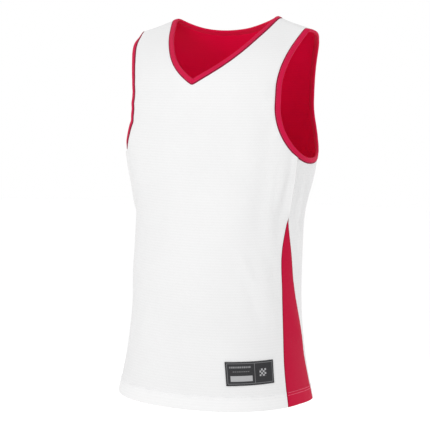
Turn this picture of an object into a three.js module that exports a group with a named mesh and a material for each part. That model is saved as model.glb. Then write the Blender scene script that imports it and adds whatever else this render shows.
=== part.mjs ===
import * as THREE from "three";

// A two-layer basketball jersey in its worn, hollow form. Millimetres, +Z up.
// The front faces -Y and +X is the wearer's left. The origin lies midway between the points where
// the shoulder seams meet the neck, which is where the wearer's shoulders hold the garment.

// Main sizes
const LENGTH = 620; // neck end of a shoulder seam down to the hem
const NECK_HALF = 104; // centre line to the neck end of a shoulder seam
const SHOULDER_HALF = 158.5; // centre line to the armhole end of a shoulder seam
const NECK_DROP = 106; // depth of the front neck
const BACK_NECK_DROP = 24; // depth of the back neck
const UNDERARM_LEVEL = -231; // lowest point of an armhole
const CHEST_LEVEL = -122; // here the panels begin to roll over to the shoulders
const BAND = 9; // visible width of the neck and armhole bands
const GAP = 0.3; // between two pieces that are sewn together

// Depths are measured inwards from the outer face of the cloth
const PANEL_WALL = 1.0;
const LINING_FROM = 2.4;
const LINING_TO = 3.4;
const LINING_SET_BACK = 0.2; // its edges lie this far back from the seams
const LINING_RISE = 3; // the lining ends this far above the hem

// Half outlines of the body at each level: half width, and how far the front and the back stand out
const SECTIONS = [
  { level: -620, half: 165.6, front: 124.9, back: 147.9 },
  { level: -540, half: 153.1, front: 106.6, back: 124.9 },
  { level: -460, half: 147.6, front: 97.3, back: 108.4 },
  { level: -380, half: 148.4, front: 91.1, back: 104.0 },
  { level: -310, half: 150.9, front: 85.8, back: 105.9 },
  { level: -240, half: 168.0, front: 80.5, back: 109.6 },
  { level: CHEST_LEVEL, half: 180.6, front: 80.1, back: 112.3 },
];
const SQUARENESS = 2.22; // 2 is an ellipse, more is squarer
const HEM_SIDE_LIFT = 1.7;
const HEM_FRONT_DIP = 6.3;

// The shoulder line, and how each side rolls up to it: 1 is straight, less is fuller, more is hollow
const SHOULDER_FALL = 0.34;
const CREST_SOFTNESS = 20;
const SHOULDER_BACKSET = 11; // how far behind the origin the line runs at the neck
const SHOULDER_FORWARD = 14.6; // how far forward it runs from the neck to the armhole
const LINE_SOFTNESS = 90;
const FRONT_ROLL = 1.9;
const BACK_ROLL_ARM = 0.5;
const BACK_ROLL_NECK = 4;
const ROLL_CHANGE = { from: 35, to: 150.5 }; // distances from the centre line
const CREST_ROUNDING = 4; // a lower power rounds more of the crest

// Neck lines
const FRONT_NECK_CURVE = 1.6;
const FRONT_NECK_ROUND = 0.03;
const BACK_NECK_CURVE = 2.6;

// Armholes: the lowest point's angle, and the narrowest half width and its height on each side
const ARMHOLE_TURN = 91.9;
const ARMHOLE_FLARE = 2.2;
const ARMHOLE = {
  front: { narrow: 136.4, rise: 0.96 },
  back: { narrow: 122, rise: 0.99 },
};

// Side seam angles, and the wedge let into the seam: how far each edge stands from the seam's line
const SEAM_TOP_ANGLE = 71;
const SEAM_LOW_ANGLE = 77;
const WEDGE_TOP_LEVEL = -318;
const WEDGE = [
  { way: 0, forward: 0, backward: 0 },
  { way: 0.2, forward: 5, backward: 7.8 },
  { way: 0.4, forward: 2.2, backward: 15 },
  { way: 0.6, forward: 0.8, backward: 25.6 },
  { way: 0.8, forward: 0.8, backward: 31 },
  { way: 1, forward: 0.2, backward: 35 },
];
const WEDGE_TIP = 0.12; // the point stops this part of a row short of the seam

// Folds that a wearer's stance leaves: each runs from one angle and level to another.
// A trough has a height below zero. Angles below zero are on the wearer's right.
const FOLDS = [
  { from: [61, -226], to: [70, -400], width: 11, height: -3.2 },
  { from: [76, -238], to: [78, -335], width: 9, height: 2.4 },
  { from: [94, -236], to: [106, -420], width: 15, height: -4 },
  { from: [40, -330], to: [70, -505], width: 17, height: 3 },
  { from: [86, -322], to: [116, -338], width: 8, height: -2.6 },
  { from: [34, -84], to: [52, -182], width: 12, height: 2.2 },
  { from: [84, -452], to: [106, -548], width: 14, height: 3 },
  { from: [-59, -230], to: [-74, -392], width: 12, height: -3 },
  { from: [-77, -240], to: [-80, -345], width: 10, height: 2.2 },
  { from: [-97, -240], to: [-112, -404], width: 16, height: -4 },
  { from: [-44, -345], to: [-73, -484], width: 18, height: 2.8 },
  { from: [-36, -80], to: [-54, -176], width: 13, height: 2 },
  { from: [-90, -470], to: [-104, -585], width: 15, height: 3 },
  { from: [152, -128], to: [124, -258], width: 17, height: 3.2 },
  { from: [-148, -140], to: [-122, -270], width: 18, height: 3 },
  { from: [162, -318], to: [-168, -310], width: 12, height: -3 },
  { from: [170, -330], to: [152, -690], width: 21, height: 4.2 },
  { from: [-174, -300], to: [-164, -700], width: 23, height: -4.6 },
  { from: [-146, -352], to: [-136, -690], width: 21, height: 4 },
  { from: [138, -395], to: [131, -700], width: 19, height: -4 },
];
const FOLD_RADIUS = 135; // turns an angle into a distance along the cloth

// How finely the pieces are divided
const BODY_ROWS = { belowWedge: 7, aboveWedge: 5 };
const YOKE_ROWS = { toNarrow: 3, toShoulder: 7 };
const FRONT_COLUMNS = { neck: 8, shoulder: 4, armhole: 3 };
const BACK_COLUMNS = { neck: 6, shoulder: 4, armhole: 7 };
const NECK_CLOSING = 1.3; // the neck columns close up towards the shoulder
const WEDGE_COLUMNS = 5;
const SIDE_DECAY = 3; // how soon the armhole's curve dies out in the columns towards the centre
const YOKE_CORNER = { front: 0.6, back: 0.5 }; // the armhole way that parts yoke and body
const YOKE_CLOSING = { front: 1, back: 1.8 }; // how much the last yoke rows close up
const ANGLE_STEP = 0.4; // steps to either side for a slope of the form
const RISE_STEP = 0.004;
const TOUCHING = 0.01;

// The woven label on the front, near the hem
const LABEL = {
  angle: 47.4,
  level: -562,
  width: 78,
  height: 36,
  thickness: 0.7,
  clearance: 0.7,
  radius: 122,
};

const { degToRad, radToDeg, lerp, clamp, smoothstep } = THREE.MathUtils;

// Smooth curve through a table's rows: each row's slope is that between its two neighbours
function curveThrough(rows, along, column, at, flatEnd) {
  const last = rows.length - 1;
  const slope = (i) => {
    if (i === last && flatEnd) return 0;
    const low = rows[Math.max(i - 1, 0)];
    const high = rows[Math.min(i + 1, last)];
    return (high[column] - low[column]) / (high[along] - low[along]);
  };
  let i = 0;
  while (i < last - 1 && at > rows[i + 1][along]) i += 1;
  const span = rows[i + 1][along] - rows[i][along];
  const u = (at - rows[i][along]) / span;
  const start = rows[i][column] * (1 + 2 * u) + slope(i) * span * u;
  const end = rows[i + 1][column] * (3 - 2 * u) + slope(i + 1) * span * (u - 1);
  return start * (1 - u) ** 2 + end * u ** 2;
}

const section = (column, level) =>
  curveThrough(SECTIONS, "level", column, level, true);
const signedPower = (value, power) =>
  Math.sign(value) * Math.abs(value) ** power;
const softened = (x, softness) => Math.hypot(x, softness);
const chestHalf = section("half", CHEST_LEVEL);

function shoulderLevel(x) {
  const rise =
    softened(NECK_HALF, CREST_SOFTNESS) - softened(x, CREST_SOFTNESS);
  return SHOULDER_FALL * rise;
}

function shoulderSet(x) {
  const neck = softened(NECK_HALF, LINE_SOFTNESS);
  const way =
    (softened(x, LINE_SOFTNESS) - neck) /
    (softened(SHOULDER_HALF, LINE_SOFTNESS) - neck);
  return SHOULDER_BACKSET - SHOULDER_FORWARD * way;
}

function rollPower(x, isFront) {
  if (isFront) return FRONT_ROLL;
  const nearNeck = smoothstep(
    -Math.abs(x),
    -ROLL_CHANGE.to,
    -ROLL_CHANGE.from,
  );
  return lerp(BACK_ROLL_ARM, BACK_ROLL_NECK, nearNeck);
}

// A point of the smooth outer form. Angle 0 is the centre front, 90 the wearer's left and 180 the
// centre back. Rise is 0 at the hem, 1 at the chest and 2 on the shoulder line, and past 2 it runs
// down the other side.
function form(angle, rise) {
  if (rise > 2) return form(180 - angle, 4 - rise);
  const sine = Math.sin(degToRad(angle));
  const cosine = Math.cos(degToRad(angle));
  const low = Math.min(rise, 1);
  const level = lerp(-LENGTH, CHEST_LEVEL, low);
  const x = section("half", level) * signedPower(sine, 2 / SQUARENESS);
  const reach = section(cosine > 0 ? "front" : "back", level);
  const y = -reach * signedPower(cosine, 2 / SQUARENESS);
  if (rise <= 1) {
    const swing =
      HEM_SIDE_LIFT * sine ** 2 - HEM_FRONT_DIP * Math.max(cosine, 0);
    return new THREE.Vector3(x, y, level + swing * (1 - low) ** 3);
  }
  const power = rollPower(x, cosine > 0);
  const turned = 1 - (2 - rise) ** (1 / Math.min(power, 1));
  const turn = (Math.PI / 2) * turned;
  const crisp = power - Math.max(power - 1, 0) * turned ** CREST_ROUNDING;
  const inward = 1 - Math.max(Math.cos(turn), 0) ** crisp;
  return new THREE.Vector3(
    x,
    lerp(y, shoulderSet(x), inward),
    lerp(CHEST_LEVEL, shoulderLevel(x), Math.sin(turn)),
  );
}

function outward(angle, rise) {
  const around = form(angle + ANGLE_STEP, rise).sub(
    form(angle - ANGLE_STEP, rise),
  );
  const upward = form(angle, rise + RISE_STEP).sub(
    form(angle, rise - RISE_STEP),
  );
  return around.cross(upward).normalize();
}

// Height of the folds at a point: a bell across each fold that fades in and out along it
function foldHeight(angle, level) {
  let height = 0;
  for (const fold of FOLDS) {
    const turn = (a) =>
      degToRad(((((a - fold.from[0] + 180) % 360) + 360) % 360) - 180);
    const runX = turn(fold.to[0]) * FOLD_RADIUS;
    const runZ = fold.to[1] - fold.from[1];
    const x = turn(angle) * FOLD_RADIUS;
    const z = level - fold.from[1];
    const long = Math.hypot(runX, runZ);
    const way = (x * runX + z * runZ) / long ** 2;
    if (way <= 0 || way >= 1) continue;
    const across = (x * runZ - z * runX) / long;
    height +=
      fold.height *
      Math.exp(-((across / fold.width) ** 2)) *
      Math.sin(Math.PI * way) ** 2;
  }
  return height;
}

// The cloth's outer face with its folds, and the way out of it
function cloth(angle, rise) {
  const base = form(angle, rise);
  const normal = outward(angle, rise);
  const point = base
    .clone()
    .addScaledVector(normal, foldHeight(angle, base.z));
  return { point, normal };
}

const riseOfLevel = (level) => (level + LENGTH) / (CHEST_LEVEL + LENGTH);

// Angle from the centre line of a point above the chest, from its half width
const angleOfHalf = (x) =>
  radToDeg(Math.asin(clamp(Math.abs(x) / chestHalf, 0, 1) ** (SQUARENESS / 2)));

const halfOfAngle = (angle) =>
  chestHalf * Math.sin(degToRad(angle)) ** (2 / SQUARENESS);

// Rise of a point above the chest, from its quarter turn towards the shoulder line
function riseOfTurn(turned, x, isFront) {
  const power = Math.min(rollPower(x, isFront), 1);
  return 2 - (1 - turned) ** power;
}

// Rise of the neck's seam at a distance from the centre line
function neckRise(x, isFront) {
  const q = clamp(x / NECK_HALF, 0, 1);
  const eased =
    (Math.hypot(q, FRONT_NECK_ROUND) - FRONT_NECK_ROUND) /
    (Math.hypot(1, FRONT_NECK_ROUND) - FRONT_NECK_ROUND);
  const level = isFront
    ? -NECK_DROP * (1 - eased ** FRONT_NECK_CURVE)
    : -BACK_NECK_DROP * (1 - q ** BACK_NECK_CURVE);
  const sine = (level - CHEST_LEVEL) / (shoulderLevel(x) - CHEST_LEVEL);
  const turned = Math.asin(clamp(sine, 0, 1)) / (Math.PI / 2);
  return riseOfTurn(turned, x, isFront);
}

// A point of the armhole's seam. Way 0 is its lowest point, 1 the narrowest part and 2 the
// shoulder: a quarter ellipse, then a flare.
function armholePoint(way, isFront) {
  const side = isFront ? ARMHOLE.front : ARMHOLE.back;
  const narrowAngle = isFront
    ? angleOfHalf(side.narrow)
    : 180 - angleOfHalf(side.narrow);
  if (way <= 1) {
    const quarter = (way * Math.PI) / 2;
    return {
      angle: lerp(ARMHOLE_TURN, narrowAngle, Math.sin(quarter)),
      rise: lerp(side.rise, riseOfLevel(UNDERARM_LEVEL), Math.cos(quarter)),
    };
  }
  const half = lerp(
    side.narrow,
    SHOULDER_HALF,
    Math.sin((Math.PI / 2) * (way - 1)) ** ARMHOLE_FLARE,
  );
  const turned = lerp(side.rise, 2, way - 1);
  return {
    angle: isFront ? angleOfHalf(half) : 180 - angleOfHalf(half),
    rise: turned <= 1 ? turned : riseOfTurn(turned - 1, half, isFront),
  };
}

// Where the side seam meets the armhole
const SEAM_WAY =
  Math.asin(
    (ARMHOLE_TURN - SEAM_TOP_ANGLE) /
      (ARMHOLE_TURN - angleOfHalf(ARMHOLE.front.narrow)),
  ) /
  (Math.PI / 2);
const seamTop = armholePoint(SEAM_WAY, true);
const wedgeTopRise = riseOfLevel(WEDGE_TOP_LEVEL);

// Angle of the side seam at a rise. Below the wedge's point it follows one edge of the wedge:
// side is "forward", "backward", or "" for the plain seam of the lining.
function seamAngle(rise, side) {
  if (rise >= wedgeTopRise) {
    const way = (rise - wedgeTopRise) / (seamTop.rise - wedgeTopRise);
    return lerp(SEAM_LOW_ANGLE, SEAM_TOP_ANGLE, way);
  }
  if (!side) return SEAM_LOW_ANGLE;
  const way = 1 - rise / wedgeTopRise;
  const off = curveThrough(WEDGE, "way", side, way, false);
  return SEAM_LOW_ANGLE + (side === "forward" ? -off : off);
}

const steps = (count) =>
  Array.from({ length: count + 1 }, (unused, i) => i / count);

// Heights of the rows on the side seam, as a part of the seam's whole rise
const bodyRows = [
  ...steps(BODY_ROWS.belowWedge)
    .slice(0, -1)
    .map((t) => (t * wedgeTopRise) / seamTop.rise),
  ...steps(BODY_ROWS.aboveWedge).map((t) =>
    lerp(wedgeTopRise / seamTop.rise, 1, t),
  ),
];

// One panel: the body below the armholes, and the yoke from there to the neck and shoulders.
// Angles are counted from the panel's own centre line. The columns from the centre out end on the
// neck, on the shoulder seam, and on the lower part of the armhole.
function panelLayout(isFront) {
  const columns = isFront ? FRONT_COLUMNS : BACK_COLUMNS;
  const split = isFront ? YOKE_CORNER.front : YOKE_CORNER.back;
  const closing = isFront ? YOKE_CLOSING.front : YOKE_CLOSING.back;
  const ownAngle = (angle) => (isFront ? angle : 180 - angle);
  const sidePoint = (way) => {
    const point = armholePoint(Math.abs(way), isFront || way < 0);
    return { angle: ownAngle(point.angle), rise: point.rise };
  };
  const shoulderAngle = angleOfHalf(SHOULDER_HALF);
  const neckPart = angleOfHalf(NECK_HALF) / shoulderAngle;
  const yokeParts = [
    ...steps(columns.neck)
      .slice(0, -1)
      .map((t) => (1 - (1 - t) ** NECK_CLOSING) * neckPart),
    ...steps(columns.shoulder).map((t) => lerp(neckPart, 1, t)),
  ];
  const corner = sidePoint(split);
  const lowerWays = steps(columns.armhole)
    .slice(1)
    .map((t) => lerp(split, isFront ? SEAM_WAY : -SEAM_WAY, t));
  const waist = [
    ...yokeParts.map((part) => ({
      angle: part * corner.angle,
      rise: corner.rise,
    })),
    ...lowerWays.map(sidePoint),
  ];
  const yokeSides = [
    ...steps(YOKE_ROWS.toNarrow)
      .slice(0, -1)
      .map((t) => lerp(split, 1, t)),
    ...steps(YOKE_ROWS.toShoulder).map((t) => 2 - (1 - t) ** closing),
  ].map(sidePoint);
  const tops = yokeParts.map((part) => {
    const x = halfOfAngle(part * shoulderAngle);
    return x < NECK_HALF - TOUCHING ? neckRise(x, isFront) : 2;
  });
  return { waist, yokeSides, yokeParts, tops, ownAngle };
}

// The panel's points as angle and rise, its four-sided faces, and the points on its openings
function panelMesh(isFront, lining) {
  const { waist, yokeSides, yokeParts, tops, ownAngle } = panelLayout(isFront);
  const centre = isFront ? 0 : 180;
  const edge = lining ? "" : isFront ? "forward" : "backward";
  const nodes = [];
  const faces = [];
  const addRow = (half) => {
    const last = half.length - 1;
    const row = [];
    for (let i = -last; i <= last; i += 1) {
      const { angle, rise } = half[Math.abs(i)];
      row.push(nodes.push({ angle: centre + Math.sign(i) * angle, rise }) - 1);
    }
    return row;
  };
  const join = (low, high) => {
    for (let i = 0; i + 1 < low.length; i += 1)
      faces.push([low[i], low[i + 1], high[i + 1], high[i]]);
  };
  const outer = waist.length - 1;
  const lowest = lining ? LINING_RISE / (CHEST_LEVEL + LENGTH) : 0;
  const rows = bodyRows.map((part) =>
    addRow(
      waist.map((point) => {
        const sideRise = Math.max(waist[outer].rise * part, lowest);
        const sideAngle = ownAngle(seamAngle(sideRise, edge));
        return {
          angle: (point.angle / waist[outer].angle) * sideAngle,
          rise: Math.max(point.rise * part, lowest),
        };
      }),
    ),
  );
  rows.slice(1).forEach((row, i) => join(rows[i], row));
  const skipped = waist.length - yokeParts.length;
  const corner = yokeSides[0];
  let below = rows.at(-1).slice(skipped, -skipped);
  yokeSides.slice(1).forEach((side) => {
    const way = (side.rise - corner.rise) / (2 - corner.rise);
    const plain = lerp(corner.angle, yokeSides.at(-1).angle, way);
    const row = addRow(
      yokeParts.map((part, i) => ({
        angle: part * plain + part ** SIDE_DECAY * (side.angle - plain),
        rise: lerp(corner.rise, tops[i], way),
      })),
    );
    join(below, row);
    below = row;
  });
  return { nodes, faces };
}

function solid(points, triangles) {
  const geometry = new THREE.BufferGeometry();
  const flat = points.flatMap((point) => point.toArray());
  geometry.setAttribute("position", new THREE.Float32BufferAttribute(flat, 3));
  geometry.setIndex(triangles.flat());
  geometry.computeVertexNormals();
  return geometry;
}

// Two triangles for a four-sided face, split along its shorter diagonal
function halves([a, b, c, d], points) {
  const short =
    points[a].distanceTo(points[c]) <= points[b].distanceTo(points[d]);
  return short
    ? [
        [a, b, c],
        [a, c, d],
      ]
    : [
        [a, b, d],
        [b, c, d],
      ];
}

// A cloth wall: the outer and inner face of a net of four-sided faces, closed along its edges.
// Each edge is set back a little from its seam.
function wall(nodes, faces, outerDepth, innerDepth, setBack = GAP / 2) {
  const spots = nodes.map(({ angle, rise }) => cloth(angle, rise));
  const after = new Map();
  const before = new Map();
  const inner = new Set(
    faces.flatMap((face) => face.map((a, i) => `${a}>${face[(i + 1) % 4]}`)),
  );
  for (const face of faces)
    face.forEach((a, i) => {
      const b = face[(i + 1) % 4];
      if (inner.has(`${b}>${a}`)) return;
      after.set(a, b);
      before.set(b, a);
    });
  const settled = spots.map(({ point, normal }, i) => {
    if (!after.has(i)) return point.clone();
    const run = spots[after.get(i)].point
      .clone()
      .sub(spots[before.get(i)].point)
      .normalize();
    const inwards = normal.clone().cross(run).normalize();
    return point.clone().addScaledVector(inwards, setBack);
  });
  const layer = (depth) =>
    settled.map((point, i) =>
      point.clone().addScaledVector(spots[i].normal, -depth),
    );
  const points = [...layer(outerDepth), ...layer(innerDepth)];
  const count = nodes.length;
  const triangles = [];
  for (const face of faces)
    for (const [a, b, c] of halves(face, settled))
      triangles.push([a, b, c], [count + a, count + c, count + b]);
  for (const [a, b] of after)
    triangles.push([b, a, count + a], [b, count + a, count + b]);
  return solid(points, triangles);
}

function panel(isFront) {
  const { nodes, faces } = panelMesh(isFront, false);
  return wall(nodes, faces, 0, PANEL_WALL);
}

function lining(isFront) {
  const { nodes, faces } = panelMesh(isFront, true);
  return wall(nodes, faces, LINING_FROM, LINING_TO, LINING_SET_BACK);
}

// The wedge let into a side seam: side is 1 on the wearer's left and -1 on the right
function wedge(side) {
  const heights = bodyRows
    .slice(0, BODY_ROWS.belowWedge + 1)
    .map((part) => part * seamTop.rise);
  const rows = heights.map((rise) => ({
    rise,
    front: seamAngle(rise, "forward"),
    back: seamAngle(rise, "backward"),
  }));
  const tip = rows.pop();
  const under = rows.at(-1);
  rows.push({
    rise: lerp(tip.rise, under.rise, WEDGE_TIP),
    front: lerp(tip.front, under.front, WEDGE_TIP),
    back: lerp(tip.back, under.back, WEDGE_TIP),
  });
  const nodes = rows.flatMap(({ rise, front, back }) =>
    steps(WEDGE_COLUMNS).map((t) => ({
      angle: side * (side > 0 ? lerp(front, back, t) : lerp(back, front, t)),
      rise,
    })),
  );
  const across = WEDGE_COLUMNS + 1;
  const faces = [];
  for (let r = 0; r + 1 < rows.length; r += 1)
    for (let c = 0; c < WEDGE_COLUMNS; c += 1) {
      const a = r * across + c;
      faces.push([a, a + 1, a + 1 + across, a + across]);
    }
  return wall(nodes, faces, 0, PANEL_WALL);
}

// Section of a folded band: distance into the opening and height above the outer cloth. Two
// points part the face at the seam, so that it can turn with the cloth.
const BAND_TOP = 0.6;
const BAND_FOOT = -3.7;
const BAND_SOFT = 1; // how much its corners are taken off
const BAND_SECTION = [
  [GAP / 2, BAND_FOOT + 0.4 * BAND_SOFT],
  [GAP / 2 + BAND_SOFT, BAND_FOOT],
  [BAND - 1.4 * BAND_SOFT, BAND_FOOT],
  [BAND, BAND_FOOT + BAND_SOFT],
  [BAND, BAND_TOP - BAND_SOFT],
  [BAND - 1.4 * BAND_SOFT, BAND_TOP],
  [GAP / 2 + BAND_SOFT, BAND_TOP],
  [GAP / 2, BAND_TOP - 0.4 * BAND_SOFT],
  [GAP / 2, -0.9],
  [GAP / 2, -2],
];

// A band that runs round an opening, counter-clockwise as seen from outside
function band(ring) {
  const spots = ring.map(({ angle, rise }) => cloth(angle, rise));
  const count = ring.length;
  const across = BAND_SECTION.length;
  const points = spots.flatMap(({ point, normal }, i) => {
    const run = spots[(i + 1) % count].point
      .clone()
      .sub(spots[(i + count - 1) % count].point)
      .normalize();
    const into = normal.clone().cross(run).normalize();
    return BAND_SECTION.map(([reach, height]) =>
      point.clone().addScaledVector(into, reach).addScaledVector(normal, height),
    );
  });
  const triangles = [];
  for (let i = 0; i < count; i += 1)
    for (let j = 0; j < across; j += 1) {
      const next = ((i + 1) % count) * across;
      const [j0, j1] = [j, (j + 1) % across];
      const face = [i * across + j0, i * across + j1, next + j1, next + j0];
      triangles.push(...halves(face, points));
    }
  return solid(points, triangles);
}

function neckRing() {
  const halfRing = (isFront) => {
    const { yokeParts, tops } = panelLayout(isFront);
    const neckColumns = isFront ? FRONT_COLUMNS.neck : BACK_COLUMNS.neck;
    return yokeParts.slice(0, neckColumns + 1).map((part, i) => ({
      angle: part * angleOfHalf(SHOULDER_HALF),
      rise: tops[i],
    }));
  };
  const front = halfRing(true);
  const back = halfRing(false).slice(0, -1);
  const turned = ({ angle, rise }) => ({ angle: -angle, rise });
  return [
    ...front.slice(1).reverse().map(turned),
    ...front,
    ...back
      .slice(1)
      .reverse()
      .map(({ angle, rise }) => ({ angle: 180 - angle, rise })),
    ...back.map(({ angle, rise }) => ({ angle: 180 + angle, rise })),
  ];
}

function armholeRing(side) {
  const edge = (isFront) => {
    const { waist, yokeSides, yokeParts, ownAngle } = panelLayout(isFront);
    return [
      ...yokeSides.slice(1).reverse(),
      ...waist.slice(yokeParts.length - 1),
    ].map(({ angle, rise }) => ({ angle: side * ownAngle(angle), rise }));
  };
  const front = edge(true);
  const back = edge(false).slice(1, -1).reverse();
  const ring = [...front, ...back];
  return side > 0 ? ring : ring.reverse();
}

// The woven label lies on the front panel: a small net moved out from the cloth
function label() {
  const columns = 8;
  const rows = 4;
  const nodes = [];
  for (const v of steps(rows))
    for (const u of steps(columns)) {
      const angle =
        LABEL.angle + radToDeg(((u - 0.5) * LABEL.width) / LABEL.radius);
      const dip =
        HEM_FRONT_DIP *
        (Math.cos(degToRad(LABEL.angle)) - Math.cos(degToRad(angle)));
      const level = LABEL.level + (v - 0.5) * LABEL.height + dip;
      nodes.push({ angle, rise: riseOfLevel(level) });
    }
  const faces = [];
  for (let r = 0; r < rows; r += 1)
    for (let c = 0; c < columns; c += 1) {
      const a = r * (columns + 1) + c;
      faces.push([a, a + 1, a + columns + 2, a + columns + 1]);
    }
  const outer = -LABEL.clearance - LABEL.thickness;
  return wall(nodes, faces, outer, -LABEL.clearance);
}

const MATERIALS = {
  white: { color: 0xf2f2f2, roughness: 0.85 },
  lining: { color: 0xb00028, roughness: 0.85 },
  red: { color: 0xc3203f, roughness: 0.8 },
  band: { color: 0xc8234b, roughness: 0.75 },
  label: { color: 0x3c3c3c, roughness: 0.7 },
};

const jersey = new THREE.Group();
function add(name, geometry, look) {
  const material = new THREE.MeshStandardMaterial({
    ...MATERIALS[look],
    metalness: 0,
  });
  const mesh = new THREE.Mesh(geometry, material);
  mesh.name = name;
  jersey.add(mesh);
}

add("front_panel", panel(true), "white");
add("back_panel", panel(false), "white");
add("lining_front", lining(true), "lining");
add("lining_back", lining(false), "lining");
for (const [name, side] of [
  ["left", 1],
  ["right", -1],
]) {
  add(`side_insert_${name}`, wedge(side), "red");
  add(`armhole_binding_${name}`, band(armholeRing(side)), "band");
}
add("neck_binding", band(neckRing()), "band");
add("hem_label", label(), "label");

export default jersey;
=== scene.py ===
# %% [markdown]
# A two-layer basketball jersey in its worn, hollow form.
# The outside is white mesh knit and the inside is red knit. Two red wedges are let into the side
# seams, red bands bind the neck and the armholes, and a grey woven label is sewn near the hem.
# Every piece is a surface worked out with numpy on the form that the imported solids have, so the
# script repeats that form's few sizes. Sizes are in millimetres until a mesh is made.

from math import asin, cos, hypot, pi, radians, sin

import bpy
import numpy as np
from mathutils import Matrix, Vector


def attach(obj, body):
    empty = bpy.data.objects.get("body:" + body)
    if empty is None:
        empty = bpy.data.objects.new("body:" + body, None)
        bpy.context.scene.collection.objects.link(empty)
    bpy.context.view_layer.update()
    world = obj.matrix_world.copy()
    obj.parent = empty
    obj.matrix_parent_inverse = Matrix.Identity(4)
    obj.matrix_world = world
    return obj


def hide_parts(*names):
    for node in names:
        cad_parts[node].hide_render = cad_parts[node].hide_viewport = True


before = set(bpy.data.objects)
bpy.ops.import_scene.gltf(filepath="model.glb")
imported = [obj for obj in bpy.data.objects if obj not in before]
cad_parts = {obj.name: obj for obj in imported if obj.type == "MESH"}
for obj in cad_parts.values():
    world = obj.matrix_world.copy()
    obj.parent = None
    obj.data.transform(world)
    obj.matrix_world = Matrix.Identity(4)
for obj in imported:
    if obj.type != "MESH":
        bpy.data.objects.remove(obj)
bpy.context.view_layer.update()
MM = 0.001


def add_object(name, data):
    """A new object in the scene that shows a camera, a lamp or a mesh."""
    thing = bpy.data.objects.new(name, data)
    bpy.context.scene.collection.objects.link(thing)
    return thing


# %% [markdown]
# The camera comes first, because the photograph fixes it. It looks at the wearer's left front from
# about chest height through a long lens. The camera is built from its three axes, which is
# clearer than three turns in a row: right, up and back are the columns of its matrix.

# %% Camera
PICTURE_WIDTH = 430  # pixels
FOCAL_LENGTH_PIXELS = 1517.6
SENSOR_WIDTH = 36
CAMERA_TURN = radians(32.0)
CAMERA_TILT = radians(3.06)
CAMERA_ROLL = radians(1.40)
CAMERA_DISTANCE = 2508
AIM_SIDEWAYS = -4.2
AIM_LEVEL = -322.7


def add_camera():
    """Aim point minus distance times the view direction; the roll turns right and up together."""
    right = Vector((cos(CAMERA_TURN), sin(CAMERA_TURN), 0))
    forward = Vector((-sin(CAMERA_TURN) * cos(CAMERA_TILT), cos(CAMERA_TURN) * cos(CAMERA_TILT),
                      -sin(CAMERA_TILT)))
    up = right.cross(forward)
    aim = right * AIM_SIDEWAYS + Vector((0, 0, AIM_LEVEL))
    place = (aim - forward * CAMERA_DISTANCE) * MM
    rolled_right = right * cos(CAMERA_ROLL) + up * sin(CAMERA_ROLL)
    rolled_up = up * cos(CAMERA_ROLL) - right * sin(CAMERA_ROLL)
    axes = Matrix((rolled_right, rolled_up, -forward)).transposed().to_4x4()
    lens = bpy.data.cameras.new("camera")
    lens.sensor_width = SENSOR_WIDTH
    lens.lens = FOCAL_LENGTH_PIXELS / PICTURE_WIDTH * SENSOR_WIDTH
    camera = add_object("camera", lens)
    camera.matrix_world = Matrix.Translation(place) @ axes
    bpy.context.scene.camera = camera
    return camera


camera = add_camera()
print("camera at", tuple(round(v, 3) for v in camera.matrix_world.translation))

# %% [markdown]
# The photograph is a high-key studio picture: white all round, with hardly any shadow. A white
# world gives most of the light. Large soft lamps add a little direction, so that folds show.
# The floor is pale, and it shines a little so that it stays white up to the horizon.

# %% Studio
FLOOR_LEVEL = -930
FLOOR_RADIUS = 14000
FLOOR_SIDES = 96
FLOOR_PAINT = {"Base Color": (0.9, 0.9, 0.9, 1), "Roughness": 0.9,
               "Emission Color": (1, 1, 1, 1), "Emission Strength": 0.1}
LAMPS = [  # turn round the object, height, distance, width of the lamp, watts
    ("key", 0, 60, 1100, 800, 4.1),
    ("side_fill", 140, 250, 2300, 1300, 7),
    ("back", 205, 400, 2300, 1400, 10),
]


def add_lamp(name, turn, height, distance, width, watts):
    """A square lamp on a circle round the object, which faces the chest."""
    place = Vector((sin(radians(turn)) * distance, -cos(radians(turn)) * distance, height))
    lamp = bpy.data.lights.new(name, "AREA")
    lamp.size = width * MM
    lamp.energy = watts
    aim = Vector((0, 0, AIM_LEVEL)) - place
    turned = aim.to_track_quat("-Z", "Y").to_matrix().to_4x4()
    add_object(name, lamp).matrix_world = Matrix.Translation(place * MM) @ turned


for lamp_sizes in LAMPS:
    add_lamp(*lamp_sizes)

world = bpy.data.worlds.new("studio")
world.use_nodes = True
backdrop = world.node_tree.nodes["Background"]
backdrop.inputs["Color"].default_value = (1, 1, 1, 1)
backdrop.inputs["Strength"].default_value = 1.0
bpy.context.scene.world = world
bpy.context.scene.view_settings.view_transform = "Standard"

floor_rim = np.linspace(0, 2 * pi, FLOOR_SIDES, endpoint=False)
floor_points = np.stack([np.cos(floor_rim) * FLOOR_RADIUS, np.sin(floor_rim) * FLOOR_RADIUS,
                         np.full(FLOOR_SIDES, FLOOR_LEVEL)], axis=1) * MM
floor_mesh = bpy.data.meshes.new("floor")
floor_mesh.from_pydata(floor_points.tolist(), [], [list(range(FLOOR_SIDES))])
floor = add_object("floor", floor_mesh)
floor_paint = bpy.data.materials.new("floor_paint")
floor_paint.use_nodes = True
floor_shader = floor_paint.node_tree.nodes["Principled BSDF"]
for socket, value in FLOOR_PAINT.items():
    floor_shader.inputs[socket].default_value = value
floor_mesh.materials.append(floor_paint)
print("studio:", len(LAMPS), "lamps and a floor")

# %% [markdown]
# The body of the jersey is one smooth form. On a real garment it comes from the flat cut and the
# wearer's figure. Here it is a stack of rounded half outlines, wider at the chest and the hem than
# at the waist, with the front and the back apart. A curve through seven levels joins them. A mesh
# modelled by hand would be harder to match with the solids, which have this same form.

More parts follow.
